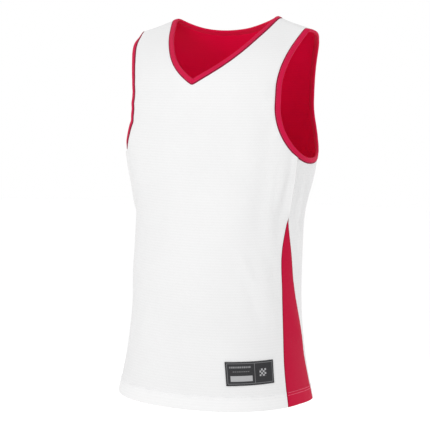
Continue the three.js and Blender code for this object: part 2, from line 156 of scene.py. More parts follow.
# %% The trunk
LENGTH = 620
CHEST_LEVEL = -122
SECTIONS = np.array([  # level, half width, reach to the front, reach to the back
    [-620, 165.6, 124.9, 147.9],
    [-540, 153.1, 106.6, 124.9],
    [-460, 147.6, 97.3, 108.4],
    [-380, 148.4, 91.1, 104.0],
    [-310, 150.9, 85.8, 105.9],
    [-240, 168.0, 80.5, 109.6],
    [CHEST_LEVEL, 180.6, 80.1, 112.3],
])
HALF, FRONT, BACK = 1, 2, 3  # columns of the table
SQUARENESS = 2.22
HEM_SIDE_LIFT = 1.7
HEM_FRONT_DIP = 6.3


def lerp(low, high, way):
    return low + (high - low) * way


def smoothstep(low, high, value):
    way = np.clip((value - low) / (high - low), 0, 1)
    return way * way * (3 - 2 * way)


def curve_through(table, column, at, flat_end=False):
    """A smooth curve through a table's rows. The slope at a row is that between its two
    neighbours, and each stretch is the cubic that has the slopes of its two rows."""
    along, value = table[:, 0], table[:, column]
    slope = np.empty_like(value)
    slope[1:-1] = (value[2:] - value[:-2]) / (along[2:] - along[:-2])
    slope[0] = (value[1] - value[0]) / (along[1] - along[0])
    slope[-1] = 0 if flat_end else (value[-1] - value[-2]) / (along[-1] - along[-2])
    i = np.clip(np.searchsorted(along, at, side="right") - 1, 0, len(along) - 2)
    span = along[i + 1] - along[i]
    u = (at - along[i]) / span
    start = value[i] * (1 + 2 * u) + slope[i] * span * u
    end = value[i + 1] * (3 - 2 * u) + slope[i + 1] * span * (u - 1)
    return start * (1 - u) ** 2 + end * u ** 2


def signed_power(value, power):
    return np.sign(value) * np.abs(value) ** power


CHEST_HALF = float(curve_through(SECTIONS, HALF, CHEST_LEVEL, flat_end=True))
print("half width at the chest:", CHEST_HALF, "mm")

# %% [markdown]
# Above the chest the cloth rolls inwards to the line of the shoulders. The front rolls over like a
# hollow slope. The back stays full near the armholes and lies flatter near the neck, so its roll
# changes from the side to the centre. The shoulder line itself falls from the neck outwards.

# %% The shoulders
NECK_HALF = 104
SHOULDER_HALF = 158.5
SHOULDER_FALL = 0.34
CREST_SOFTNESS = 20
SHOULDER_BACKSET = 11
SHOULDER_FORWARD = 14.6
LINE_SOFTNESS = 90
FRONT_ROLL = 1.9
BACK_ROLL_ARM = 0.5
BACK_ROLL_NECK = 4
ROLL_CHANGE = (35, 150.5)  # distances from the centre line
CREST_ROUNDING = 4
ANGLE_STEP, RISE_STEP = 0.4, 0.004  # steps to either side for a slope of the form


def shoulder_level(x):
    """The fall times the difference between two softened distances from the centre line."""
    return SHOULDER_FALL * (hypot(NECK_HALF, CREST_SOFTNESS) - np.hypot(x, CREST_SOFTNESS))


def shoulder_set(x):
    """How far back the shoulder line runs: least at the armhole, most at the neck."""
    neck = hypot(NECK_HALF, LINE_SOFTNESS)
    way = (np.hypot(x, LINE_SOFTNESS) - neck) / (hypot(SHOULDER_HALF, LINE_SOFTNESS) - neck)
    return SHOULDER_BACKSET - SHOULDER_FORWARD * way


def roll_power(x, is_front):
    near_neck = 1 - smoothstep(ROLL_CHANGE[0], ROLL_CHANGE[1], np.abs(x))
    return np.where(is_front, FRONT_ROLL, lerp(BACK_ROLL_ARM, BACK_ROLL_NECK, near_neck))


def form(angle, rise):
    """The smooth outer form at an angle round the body (0 centre front, 90 the wearer's left) and
    a rise (0 hem, 1 chest, 2 shoulder line, and past 2 down the other side). Below the chest it is
    half width times sine and reach times cosine, each to the power 2/SQUARENESS. Above, y goes to
    the shoulder line by 1 minus a power of the cosine of the turn, and z by its sine."""
    over = rise > 2
    angle = np.where(over, 180 - angle, angle)
    rise = np.where(over, 4 - rise, rise)
    sine, cosine = np.sin(np.radians(angle)), np.cos(np.radians(angle))
    low = np.minimum(rise, 1)
    level = lerp(-LENGTH, CHEST_LEVEL, low)
    x = curve_through(SECTIONS, HALF, level, True) * signed_power(sine, 2 / SQUARENESS)
    reach = np.where(cosine > 0, curve_through(SECTIONS, FRONT, level, True),
                     curve_through(SECTIONS, BACK, level, True))
    y = -reach * signed_power(cosine, 2 / SQUARENESS)
    swing = HEM_SIDE_LIFT * sine ** 2 - HEM_FRONT_DIP * np.maximum(cosine, 0)
    power = roll_power(x, cosine > 0)
    turned = 1 - (2 - np.clip(rise, 1, 2)) ** (1 / np.minimum(power, 1))
    turn = pi / 2 * turned
    crisp = power - np.maximum(power - 1, 0) * turned ** CREST_ROUNDING
    inward = 1 - np.maximum(np.cos(turn), 0) ** crisp
    rolled_y = lerp(y, shoulder_set(x), inward)
    rolled_z = lerp(CHEST_LEVEL, shoulder_level(x), np.sin(turn))
    is_low = rise <= 1
    z = np.where(is_low, level + swing * (1 - low) ** 3, rolled_z)
    return np.stack([x, np.where(is_low, y, rolled_y), z], axis=-1)


def unit(vectors):
    return vectors / np.maximum(np.linalg.norm(vectors, axis=-1, keepdims=True), 1e-9)


def outward(angle, rise):
    """The way out of the form: the cross product of its slopes round and up."""
    around = form(angle + ANGLE_STEP, rise) - form(angle - ANGLE_STEP, rise)
    upward = form(angle, rise + RISE_STEP) - form(angle, rise - RISE_STEP)
    return unit(np.cross(around, upward))


print("shoulder line at the armhole:", form(np.array(60.0), np.array(2.0)).round(1))

# %% [markdown]
# Cloth never lies quite smooth. The large folds are the ones that the solids have. The smaller
# creases are listed as well: short pulls towards the armholes, drapes under the arms, a
# break at the top of each wedge, and slack waves down the back. Each is a soft bell across its
# line that fades in and out, because that can be placed exactly, where a simulation can't.

# %% Folds
FOLD_RADIUS = 135
FOLDS = np.array([  # start angle, start level, end angle, end level, width, height
    [61, -226, 70, -400, 11, -3.2],
    [76, -238, 78, -335, 9, 2.4],
    [94, -236, 106, -420, 15, -4],
    [40, -330, 70, -505, 17, 3],
    [86, -322, 116, -338, 8, -2.6],
    [34, -84, 52, -182, 12, 2.2],
    [84, -452, 106, -548, 14, 3],
    [-59, -230, -74, -392, 12, -3],
    [-77, -240, -80, -345, 10, 2.2],
    [-97, -240, -112, -404, 16, -4],
    [-44, -345, -73, -484, 18, 2.8],
    [-36, -80, -54, -176, 13, 2],
    [-90, -470, -104, -585, 15, 3],
    [152, -128, 124, -258, 17, 3.2],
    [-148, -140, -122, -270, 18, 3],
    [162, -318, -168, -310, 12, -3],
    [170, -330, 152, -690, 21, 4.2],
    [-174, -300, -164, -700, 23, -4.6],
    [-146, -352, -136, -690, 21, 4],
    [138, -395, 131, -700, 19, -4],
])
CREASES = np.array([  # the same columns, for creases too fine for the solids
    [32, -128, 52, -92, 6, 1.7],
    [35, -144, 55, -108, 5, -1.3],
    [35, -158, 56, -120, 6, 2.1],
    [40, -178, 60, -142, 7, -2.0],
    [46, -198, 62, -168, 6, 1.6],
    [39, -40, 54, -480, 20, -4.0],
    [29, -356, 54, -448, 9, 2.7],
    [38, -412, 60, -516, 10, -1.8],
    [60, -212, 67, -360, 8, 1.6],
    [65, -222, 71, -338, 6, -0.7],
    [54, -214, 61, -336, 7, -1.0],
    [83, -236, 88, -330, 5, 2.0],
    [88, -238, 98, -306, 5, -1.8],
    [100, -246, 108, -330, 7, 1.2],
    [84, -318, 101, -326, 4, 1.1],
    [88, -346, 110, -366, 5, 1.2],
    [92, -362, 112, -392, 6, -0.9],
    [58, -372, 70, -446, 8, -0.8],
    [62, -448, 74, -530, 6, 0.9],
    [18, -430, 38, -600, 16, 1.1],
    [-10, -250, 4, -480, 26, 1.0],
    [-34, -130, -50, -100, 6, 1.1],
    [-38, -156, -56, -124, 7, 1.3],
    [-43, -184, -60, -154, 7, -1.6],
    [-63, -234, -72, -330, 5, 1.2],
    [-84, -238, -90, -322, 5, 1.3],
    [-89, -240, -101, -312, 6, -1.2],
    [-86, -324, -106, -336, 5, -1.4],
    [-90, -350, -114, -376, 6, 1.1],
    [-58, -380, -72, -452, 7, -0.8],
    [-22, -440, -40, -604, 18, 1.0],
    [116, -206, 134, -160, 7, 1.7],
    [120, -226, 142, -190, 8, -1.6],
    [-118, -210, -136, -168, 7, 1.7],
    [-122, -232, -140, -200, 8, -1.5],
    [168, -60, 150, -120, 9, 0.9],
    [-166, -64, -150, -118, 9, 0.8],
    [150, -300, 172, -292, 6, 1.0],
    [-150, -336, -176, -330, 7, 1.1],
    [156, -352, 176, -350, 6, -1.0],
    [122, -420, 134, -560, 8, 1.1],
    [-118, -430, -128, -590, 9, -1.0],
    [178, -430, 174, -640, 10, 1.3],
])


def fold_height(folds, angle, level):
    """The sum over the folds of height times exp(-(distance across / width)^2) times the squared
    sine of half a turn along the fold."""
    height = np.zeros(np.broadcast(angle, level).shape)
    for start_angle, start_level, end_angle, end_level, width, tall in folds:
        run_x = radians((end_angle - start_angle + 180) % 360 - 180) * FOLD_RADIUS
        run_z = end_level - start_level
        x = np.radians((angle - start_angle + 180) % 360 - 180) * FOLD_RADIUS
        z = level - start_level
        long = hypot(run_x, run_z)
        way = (x * run_x + z * run_z) / long ** 2
        across = (x * run_z - z * run_x) / long
        bell = np.exp(-(across / width) ** 2) * np.sin(pi * np.clip(way, 0, 1)) ** 2
        height += tall * bell
    return height


SLACK = 0.32  # height of the cloth's slow unevenness


def slack(angle, level):
    """A slow unevenness of a third of a millimetre: a product of two waves of unlike lengths."""
    around = np.radians(angle) * FOLD_RADIUS
    return SLACK * np.sin(around / 23 + 0.8 + level / 71) * np.sin(level / 37 + around / 90)


CHEST_SWELL = (8, 40, -104, 48)  # depth, half width, level and half height, below the V
SWELL_FADE = (-20, -60)  # how far forward the swell sets in
FAR_PULL = np.array([  # level, how far the right armhole is drawn in
    [-260, 0],
    [-205, -1.5],
    [-170, 1.5],
    [-130, 7.4],
    [-108, 4.8],
    [-90, 1.5],
    [-70, -2.0],
    [-50, -4.6],
    [-38, -3.2],
    [-26, 2.0],
    [-16, 7.0],
    [10, 11.0],
])
FAR_PULL_FROM = (85, 150)  # distances from the centre line between which the pull sets in
BACK_LIFT = (3.4, 3.2, 70)  # lift of the back neck, what a side has more or less, its distance
LIFT_LEVELS, LIFT_BEHIND, LIFT_ENDS = (-75, -15), (5, 45), (85, 120)  # between which it fades
NECK_SHIFT = 3.6  # of the front neck towards the wearer's left
SHIFT_LEVELS, SHIFT_BEFORE, SHIFT_ENDS = (-95, -45), (-25, 25), (105, 150)  # fades, as above


def settle(points):
    """How the worn form departs from the even one: the chest swells by two bells below the V, the
    armhole on the wearer's right is drawn in by a curve through a table of levels, the front neck
    sits a little to the wearer's left, and the back of the neck stands higher on that side, by a
    sine of the distance sideways."""
    x, y, z = points[..., 0], points[..., 1], points[..., 2]
    deep, wide, level, tall = CHEST_SWELL
    swell = deep * np.exp(-(x / wide) ** 2 - ((z - level) / tall) ** 2) * smoothstep(*SWELL_FADE, y)
    inside = np.clip(z, FAR_PULL[0, 0], FAR_PULL[-1, 0])
    pull = curve_through(FAR_PULL, 1, inside) * smoothstep(*FAR_PULL_FROM, -x)
    even, uneven, reach = BACK_LIFT
    lift = even + uneven * np.sin(pi / 2 * np.clip(x / reach, -1, 1))
    lift = (lift * smoothstep(*LIFT_LEVELS, z) * smoothstep(*LIFT_BEHIND, y)
            * (1 - smoothstep(*LIFT_ENDS, abs(x))))
    inner = 1 - smoothstep(*SHIFT_ENDS, abs(x))
    shift = NECK_SHIFT * inner * smoothstep(*SHIFT_LEVELS, z) * (1 - smoothstep(*SHIFT_BEFORE, y))
    return np.stack([pull + shift, -swell, lift], axis=-1)


def cloth(angle, rise):
    """A point of the outer face of the cloth, with its folds and creases, and the way out."""
    base, normal = form(angle, rise), outward(angle, rise)
    base = base + settle(base)
    level = base[..., 2]
    height = (fold_height(FOLDS, angle, level) + fold_height(CREASES, angle, level)
              + slack(angle, level))
    return base + normal * height[..., None], normal


print("folds:", len(FOLDS), "large and", len(CREASES), "small")

# %% [markdown]
# The edges of the panels are drawn on the form as on a paper pattern. The neck is a V in front and
# shallow behind. Each armhole is a quarter of an ellipse below and a slow flare above. The side
# seam runs down from the armhole and parts round the red wedge.

# %% Neck, armhole and seam lines
NECK_DROP = 111.2
BACK_NECK_DROP = 24
FRONT_NECK_STRAIGHT = 0.56  # share of the V that is straight; the rest is a power
FRONT_NECK_POWER = 3.25
FRONT_NECK_ROUND = 0.026
BACK_NECK_CURVE = 2.6
UNDERARM_LEVEL = -232.5
ARMHOLE_TURN = 91.9
ARMHOLE_FLARE = 2.2
ARMHOLE_FRONT = (136.4, 0.96)  # narrowest half width, and its rise
ARMHOLE_BACK = (122, 0.99)
SEAM_TOP_ANGLE = 71
SEAM_LOW_ANGLE = 77
WEDGE_TOP_LEVEL = -318
WEDGE = np.array([  # way down the wedge, how far its edges stand forward and backward of the seam
    [0, 0, 0],
    [0.2, 5, 7.8],
    [0.4, 2.2, 15],
    [0.6, 0.8, 25.6],
    [0.8, 0.8, 31],
    [1, 0.2, 35],
])
FORWARD, BACKWARD = 1, 2  # columns of the table


def own_side(angle, is_front):
    """An angle from the panel's own centre line, as one from the front's, and the other way."""
    return angle if is_front else 180 - angle


def rise_of_level(level):
    return (level + LENGTH) / (CHEST_LEVEL + LENGTH)


def angle_of_half(x):
    return np.degrees(np.arcsin(np.clip(np.abs(x) / CHEST_HALF, 0, 1) ** (SQUARENESS / 2)))


def half_of_angle(angle):
    return CHEST_HALF * np.sin(np.radians(angle)) ** (2 / SQUARENESS)


def rise_of_turn(turned, x, is_front):
    return 2 - (1 - turned) ** np.minimum(roll_power(x, is_front), 1)


def neck_rise(x, is_front):
    """The neck's drop times 1 minus a mix of the way out to the shoulder and a power of it, or for
    the back a power alone, as a rise."""
    q = np.clip(x / NECK_HALF, 0, 1)
    eased = ((np.hypot(q, FRONT_NECK_ROUND) - FRONT_NECK_ROUND)
             / (hypot(1, FRONT_NECK_ROUND) - FRONT_NECK_ROUND))
    curved = eased ** FRONT_NECK_POWER
    level = (-NECK_DROP * (1 - lerp(curved, eased, FRONT_NECK_STRAIGHT)) if is_front
             else -BACK_NECK_DROP * (1 - q ** BACK_NECK_CURVE))
    sine = (level - CHEST_LEVEL) / (shoulder_level(x) - CHEST_LEVEL)
    return rise_of_turn(np.arcsin(np.clip(sine, 0, 1)) / (pi / 2), x, is_front)


def armhole_point(way, is_front):
    """Angle and rise on the armhole: way 0 is its lowest point, 1 the narrowest part of the panel
    and 2 the shoulder. A quarter ellipse, then a flare by a power of the sine."""
    narrow, narrow_rise = ARMHOLE_FRONT if is_front else ARMHOLE_BACK
    quarter = np.clip(way, 0, 1) * pi / 2
    low_angle = lerp(ARMHOLE_TURN, own_side(angle_of_half(narrow), is_front), np.sin(quarter))
    low_rise = lerp(narrow_rise, rise_of_level(UNDERARM_LEVEL), np.cos(quarter))
    upper = np.clip(way - 1, 0, 1)
    half = lerp(narrow, SHOULDER_HALF, np.sin(pi / 2 * upper) ** ARMHOLE_FLARE)
    turned = lerp(narrow_rise, 2, upper)
    rolled = rise_of_turn(np.clip(turned - 1, 0, 1), half, is_front)
    high_rise = np.where(turned <= 1, turned, rolled)
    high_angle = own_side(angle_of_half(half), is_front)
    is_low = way <= 1
    return np.where(is_low, low_angle, high_angle), np.where(is_low, low_rise, high_rise)


SEAM_WAY = asin((ARMHOLE_TURN - SEAM_TOP_ANGLE)
                / (ARMHOLE_TURN - float(angle_of_half(ARMHOLE_FRONT[0])))) / (pi / 2)
SEAM_TOP_RISE = float(armhole_point(SEAM_WAY, True)[1])
WEDGE_TOP_RISE = rise_of_level(WEDGE_TOP_LEVEL)


def seam_angle(rise, edge):
    """Angle of the side seam. Below the wedge's point it is one edge of the wedge, FORWARD or
    BACKWARD, or the plain seam of the lining where edge is None."""
    way_up = np.clip((rise - WEDGE_TOP_RISE) / (SEAM_TOP_RISE - WEDGE_TOP_RISE), 0, 1)
    above = lerp(SEAM_LOW_ANGLE, SEAM_TOP_ANGLE, way_up)
    if edge is None:
        return above
    way_down = np.clip(1 - rise / WEDGE_TOP_RISE, 0, 1)
    off = curve_through(WEDGE, edge, way_down)
    return np.where(rise >= WEDGE_TOP_RISE, above,
                    SEAM_LOW_ANGLE + (-off if edge == FORWARD else off))


print("seam starts", round(SEAM_WAY, 3), "of a quarter round the armhole")

# %% [markdown]
# A panel is two grids that share a row: the body below the armholes, and the yoke above. A single
# grid would have to fold its corner into the armhole, and its cells would shear there. The columns
# end on the neck, on the shoulder seam, and on the lower part of the armhole. A narrow last row
# along each edge keeps the shading of the edge from spreading over the cloth.

# %% The net of a panel
SIDE_DECAY = 3
YOKE_CORNER = {True: 0.6, False: 0.5}  # the armhole way that parts yoke and body: front, back
YOKE_CLOSING = {True: 1, False: 1.8}
LINING_RISE = 3
YOKE_PARTING = {True: 0.88, False: 0.7}  # part of the yoke's foot below the neck's columns
NECK_SWING = 5  # degrees that a column swings out below the neck's end
NECK_SWING_REACH = 0.3  # part of the yoke's height over which it does so
EDGE_ROW = 0.25  # width of the last row or column, as a part of a cell
HEM_ROWS = np.array([0, 0.3, 0.8])  # the rows nearest the hem, as parts of a cell
# Lengths of the parts of a panel, in millimetres, from which the cells are counted
PANEL_LENGTHS = {"shoulder": 50, "below": 304, "above": 96, "narrow": 60, "high": 150}
SIDE_LENGTHS = {True: {"neck": 160, "armhole": 66},  # front
                False: {"neck": 124, "armhole": 120}}  # back
LINE_SAMPLES = 600  # places along the neck line from which even ones are picked


def steps(count, margin=False):
    """Even steps from 0 to 1, with one more close to the end where the net needs a narrow row."""
    even = np.linspace(0, 1, count + 1)
    return np.insert(even, -1, 1 - EDGE_ROW / count) if margin else even


def both_sides(half, sign):
    """Mirrors a half row over its first point: sign is -1 for angles and 1 for rises."""
    return np.concatenate([sign * half[..., :0:-1], half], axis=-1)


def neck_halves(is_front, count):
    """Distances from the centre line at which the neck line has gone even lengths."""
    x = NECK_HALF * (1 - np.linspace(1, 0, LINE_SAMPLES) ** 2)
    line = form(own_side(angle_of_half(x), is_front), neck_rise(x, is_front))
    walked = np.cumsum(np.linalg.norm(np.diff(line, axis=0, prepend=line[:1]), axis=1))
    return np.interp(steps(count) * walked[-1], walked, x)


def panel_net(is_front, is_lining, cell):
    """Angle, rise and vertex number over the body and the yoke. In the body, angle is the column's
    part of the side seam's angle, and rise is a part of the column's top. In the yoke both go from
    the shared row to the neck and shoulder, a power of the column bends them to the armhole, and
    near the neck's end they swing outwards, as the neck line runs along them there."""
    split, closing = YOKE_CORNER[is_front], YOKE_CLOSING[is_front]
    count = {name: max(2, round(size / cell))
             for name, size in {**PANEL_LENGTHS, **SIDE_LENGTHS[is_front]}.items()}
    shoulder_angle = float(angle_of_half(SHOULDER_HALF))
    neck_part = float(angle_of_half(NECK_HALF)) / shoulder_angle
    neck_columns = angle_of_half(neck_halves(is_front, count["neck"])[:-1]) / shoulder_angle
    parts = np.concatenate([neck_columns, lerp(neck_part, 1, steps(count["shoulder"], True))])
    low_part = YOKE_PARTING[is_front]
    low_parts = np.concatenate([steps(count["neck"])[:-1] * low_part,
                                lerp(low_part, 1, steps(count["shoulder"], True))])
    corner_angle, corner_rise = (float(v) for v in armhole_point(split, is_front))
    corner_angle = own_side(corner_angle, is_front)

    ways = lerp(split, SEAM_WAY if is_front else -SEAM_WAY, steps(count["armhole"], True))[1:]
    low_angle, low_rise = armhole_point(np.abs(ways), is_front)
    if not is_front:
        fore_angle, fore_rise = armhole_point(np.abs(ways), True)
        low_angle = np.where(ways < 0, fore_angle, low_angle)
        low_rise = np.where(ways < 0, fore_rise, low_rise)
    top_angle = np.concatenate([low_parts * corner_angle, own_side(low_angle, is_front)])
    top_rise = np.concatenate([np.full(len(parts), corner_rise), low_rise])

    wedge_part = WEDGE_TOP_RISE / SEAM_TOP_RISE
    hem_rows = HEM_ROWS / count["below"]
    up = np.concatenate([hem_rows * wedge_part, steps(count["below"])[1:-1] * wedge_part,
                         lerp(wedge_part, 1, steps(count["above"], True))])[:, None]
    lowest = LINING_RISE / (CHEST_LEVEL + LENGTH) if is_lining else 0
    edge = None if is_lining else (FORWARD if is_front else BACKWARD)
    side = own_side(seam_angle(np.maximum(SEAM_TOP_RISE * up, lowest), edge), is_front)
    body_angle = top_angle / top_angle[-1] * side
    body_rise = np.maximum(top_rise * up, 0) * (1 - lowest / SEAM_TOP_RISE) + lowest

    way_up = np.concatenate([lerp(split, 1, steps(count["narrow"]))[1:],
                             2 - (1 - steps(count["high"], True)[1:]) ** closing])
    side_angle, side_rise = armhole_point(way_up, is_front)
    way = ((side_rise - corner_rise) / (2 - corner_rise))[:, None]
    plain = lerp(corner_angle, shoulder_angle, way)
    lean = np.concatenate([steps(count["neck"])[:-1], 1 - steps(count["shoulder"], True)])
    swing = NECK_SWING * (1 - np.exp((way - 1) / NECK_SWING_REACH)) * smoothstep(0, 0.7, way)
    part = lerp(low_parts, parts, way)
    bent = own_side(side_angle, is_front)[:, None] - plain
    yoke_angle = part * plain + part ** SIDE_DECAY * bent + lean * swing
    x = half_of_angle(parts * shoulder_angle)
    tops = np.where(x < NECK_HALF - 0.01, neck_rise(x, is_front), 2)
    yoke_rise = lerp(corner_rise, tops, way)

    lower = len(ways)
    body_index = np.arange(body_angle.shape[0] * (2 * body_angle.shape[1] - 1))
    body_index = body_index.reshape(body_angle.shape[0], -1)
    yoke_index = body_index.size + np.arange(yoke_angle.shape[0] * (2 * yoke_angle.shape[1] - 1))
    yoke_index = yoke_index.reshape(yoke_angle.shape[0], -1)
    centre = 0 if is_front else 180
    return {
        "angle": centre + np.concatenate([both_sides(body_angle, -1).ravel(),
                                          both_sides(yoke_angle, -1).ravel()]),
        "rise": np.concatenate([both_sides(body_rise, 1).ravel(), both_sides(yoke_rise, 1).ravel()]),
        "body": body_index,
        "yoke": np.vstack([body_index[-1, lower:-lower], yoke_index]),
        "lower": lower,
        "neck_columns": len(neck_columns),
    }


def quads(index):
    """The four-sided faces of a grid of vertex numbers."""
    return np.stack([index[:-1, :-1], index[:-1, 1:], index[1:, 1:], index[1:, :-1]],
                    axis=-1).reshape(-1, 4)


def net_faces(net):
    return np.concatenate([quads(net["body"]), quads(net["yoke"])])


def net_lines(net):
    """Vertex numbers along each edge of a panel."""
    body, yoke, lower, neck = net["body"], net["yoke"], net["lower"], net["neck_columns"]
    centre = yoke.shape[1] // 2
    return {
        "hem": body[0],
        "sides": [body[:, 0], body[:, -1]],
        "armholes": [np.concatenate([body[-1, :lower + 1], yoke[1:, 0]]),
                     np.concatenate([body[-1, :-lower - 2:-1], yoke[1:, -1]])],
        "neck": yoke[-1, centre - neck:centre + neck + 1],
        "shoulders": [yoke[-1, :centre - neck + 1], yoke[-1, centre + neck:]],
    }


PANEL_CELL = 3.0
LINING_CELL = 4.5
front_net = panel_net(True, False, PANEL_CELL)
back_net = panel_net(False, False, PANEL_CELL)
print("net points:", len(front_net["angle"]), "front,", len(back_net["angle"]), "back")

# %% [markdown]
# A few helpers serve every piece. One puts arrays into a mesh, with texture coordinates in metres
# along the cloth and named values for the materials. One gives a net its thickness, with a rounded
# rim, and makes the piece. One measures how far each point lies from a seam.

# %% Helpers for meshes
LINE_REACH = 40  # points further from a line than this count as far away
LINE_CHUNK = 1500  # points that are measured at once
FAR = 1e3
RIM_BULGE = 0.1  # how far a rounded rim stands out


def make_piece(name, points, faces, uv=None, values=None):
    """A mesh object from arrays in millimetres. Faces are rows of vertex numbers of one length."""
    mesh = bpy.data.meshes.new(name)
    mesh.from_pydata((points * MM).tolist(), [], faces.tolist())
    mesh.polygons.foreach_set("use_smooth", np.ones(len(faces), bool))
    if uv is not None:
        corner = np.empty(len(mesh.loops), np.int32)
        mesh.loops.foreach_get("vertex_index", corner)
        mesh.uv_layers.new(name="cloth").data.foreach_set("uv", (uv * MM)[corner].ravel())
    for key, value in (values or {}).items():
        mesh.attributes.new(key, "FLOAT", "POINT").data.foreach_set("value", value)
    mesh.update()
    piece = add_object(name, mesh)
    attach(piece, "root")
    triangles = len(faces) * (faces.shape[1] - 2)
    print(name + ":", len(points), "points,", triangles, "triangles")
    return piece


def rim_of(faces, count):
    """For each vertex on the rim, the next and the previous one, or -1 inside."""
    start, end = faces.ravel(), np.roll(faces, -1, axis=1).ravel()
    is_rim = ~np.isin(start * count + end, end * count + start)
    after, before = np.full(count, -1), np.full(count, -1)
    after[start[is_rim]] = end[is_rim]
    before[end[is_rim]] = start[is_rim]
    return after, before


def set_back(points, normals, faces, distance):
    """Moves the points of the rim inwards in the cloth, across the rim's own direction."""
    after, before = rim_of(faces, len(points))
    rim = np.flatnonzero(after >= 0)
    run = unit(points[after[rim]] - points[before[rim]])
    moved = points.copy()
    moved[rim] += unit(np.cross(normals[rim], run)) * distance
    return moved


def thick(points, normals, faces, outer, inner, bulge):
    """Two layers, each the net moved inwards by its depth, and between them a rim whose middle
    stands out by the bulge. Returns the points, the faces, and each point's number in the net."""
    after, before = rim_of(faces, len(points))
    rim = np.flatnonzero(after >= 0)
    count = len(points)
    run = unit(points[after[rim]] - points[before[rim]])
    out = -unit(np.cross(normals[rim], run))
    middle = points[rim] - normals[rim] * (outer + inner) / 2 + out * bulge
    number = np.full(count, -1)
    number[rim] = 2 * count + np.arange(len(rim))
    a, b = rim, after[rim]
    upper = np.stack([b, a, number[a], number[b]], axis=1)
    lower = np.stack([number[b], number[a], count + a, count + b], axis=1)
    everything = np.concatenate([points - normals * outer, points - normals * inner, middle])
    all_faces = np.concatenate([faces, faces[:, ::-1] + count, upper, lower])
    source = np.concatenate([np.arange(count), np.arange(count), rim])
    return everything, all_faces, source


def make_cloth(name, ending, net, depths, bulge, uv, values, inward=None):
    """A piece that replaces the solid of its name, from a net's points, normals and faces: two
    layers at depths below the net, the inner one further in where inward says so."""
    points, normals, faces = net
    solid, solid_faces, source = thick(points, normals, faces, *depths, bulge)
    if inward is not None:
        solid[len(points):2 * len(points)] -= normals * inward[:, None]
    piece = make_piece(name + ending, solid, solid_faces, uv[source],
                       {key: value[source] for key, value in values.items()})
    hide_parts(name)
    return piece


def near_line(points, line, reach=LINE_REACH):
    """Distance from each point to a line of points, and how far along the line its nearest point
    lies. Both come from the closest of the line's segments."""
    start, end = line[:-1], line[1:]
    run = end - start
    long2 = np.maximum((run ** 2).sum(1), 1e-12)
    walked = np.concatenate([[0], np.cumsum(np.sqrt(long2))])
    distance = np.full(len(points), FAR)
    along = np.zeros(len(points))
    low, high = line.min(0) - reach, line.max(0) + reach
    close = np.flatnonzero(((points > low) & (points < high)).all(1))
    for chunk in np.array_split(close, max(1, len(close) // LINE_CHUNK)):
        away = points[chunk, None] - start
        way = np.clip((away * run).sum(2) / long2, 0, 1)
        gap = np.linalg.norm(away - way[..., None] * run, axis=2)
        best = gap.argmin(1)
        row = np.arange(len(chunk))
        distance[chunk] = gap[row, best]
        along[chunk] = walked[best] + way[row, best] * np.sqrt(long2[best])
    return distance, along


def arc_lengths(points, index):
    """Signed length along each row from the middle column, for a grid of vertex numbers."""
    grid = points[index]
    walked = np.cumsum(np.linalg.norm(np.diff(grid, axis=1), axis=2), axis=1)
    walked = np.hstack([np.zeros((len(grid), 1)), walked])
    return walked - walked[:, index.shape[1] // 2][:, None]


# %% [markdown]
# Where two pieces are sewn together, the cloth rolls down into the seam, the thread pulls small
# puckers, and the folded edges inside push up a low ridge on the long side seams. At the hem the
# cloth is turned up and lies double, which makes a band that stands a little proud, with a furrow
# where the two needles have sewn it down.

# %% Relief at seams and hems
SEAM_GAP = 0.3
SEAM_ROLL = (0.55, 1.5)  # depth, and how far from the seam it reaches
SIDE_RIDGE = (3.2, {True: 9, False: 3.5})  # height, and how far it reaches: front, back
PUCKER_REACH = 9
SIDE_PUCKER, CURVE_PUCKER, LINING_PUCKER = 0.3, 0.22, 0.25
HEM_DEPTH = 20
HEM_PROUD, HEM_STEP = 0.5, 2.5  # how proud the hem stands, and over what width it ends
FURROW = (0.3, 1.1)  # depth and half width of the furrow at a needle row
HEM_FOLD = (0.55, 0.9)  # how the lower fold is rounded: depth, and reach up the hem
HEM_WAVE, HEM_WAVE_REACH = 0.22, 13
NEEDLE_GAP = 4.0
NEEDLE_ROWS = (HEM_DEPTH - 1.5, HEM_DEPTH - 1.5 + NEEDLE_GAP)


def pucker(distance, along, height):
    """Waves along a seam of two unlike lengths, which fade away from it."""
    wave = 0.6 * np.sin(2 * pi * along / 9.1 + 1.1) + 0.4 * np.sin(2 * pi * along / 13.7 + along / 61)
    return height * wave * np.exp(-distance / PUCKER_REACH) * (1 - np.exp(-distance / 1.5))


def hem_relief(above_hem):
    """Proud below the needle rows, with a soft furrow at each row and a rounded lower fold."""
    height = HEM_PROUD * (1 - smoothstep(NEEDLE_ROWS[1], NEEDLE_ROWS[1] + HEM_STEP, above_hem))
    for row in NEEDLE_ROWS:
        height -= FURROW[0] * np.exp(-((above_hem - row) / FURROW[1]) ** 2)
    return height - HEM_FOLD[0] * np.exp(-above_hem / HEM_FOLD[1])


def hem_waves(around, above_hem):
    """Shallow pulls above the needle rows, as the turned hem holds the cloth a little short."""
    wave = np.sin(around / 3.9 + np.sin(around / 31)) * np.sin(around / 17 + 0.5)
    fade = np.exp(-np.maximum(above_hem - NEEDLE_ROWS[1], 0) / HEM_WAVE_REACH)
    return HEM_WAVE * wave * (fade * smoothstep(0, 16, above_hem))


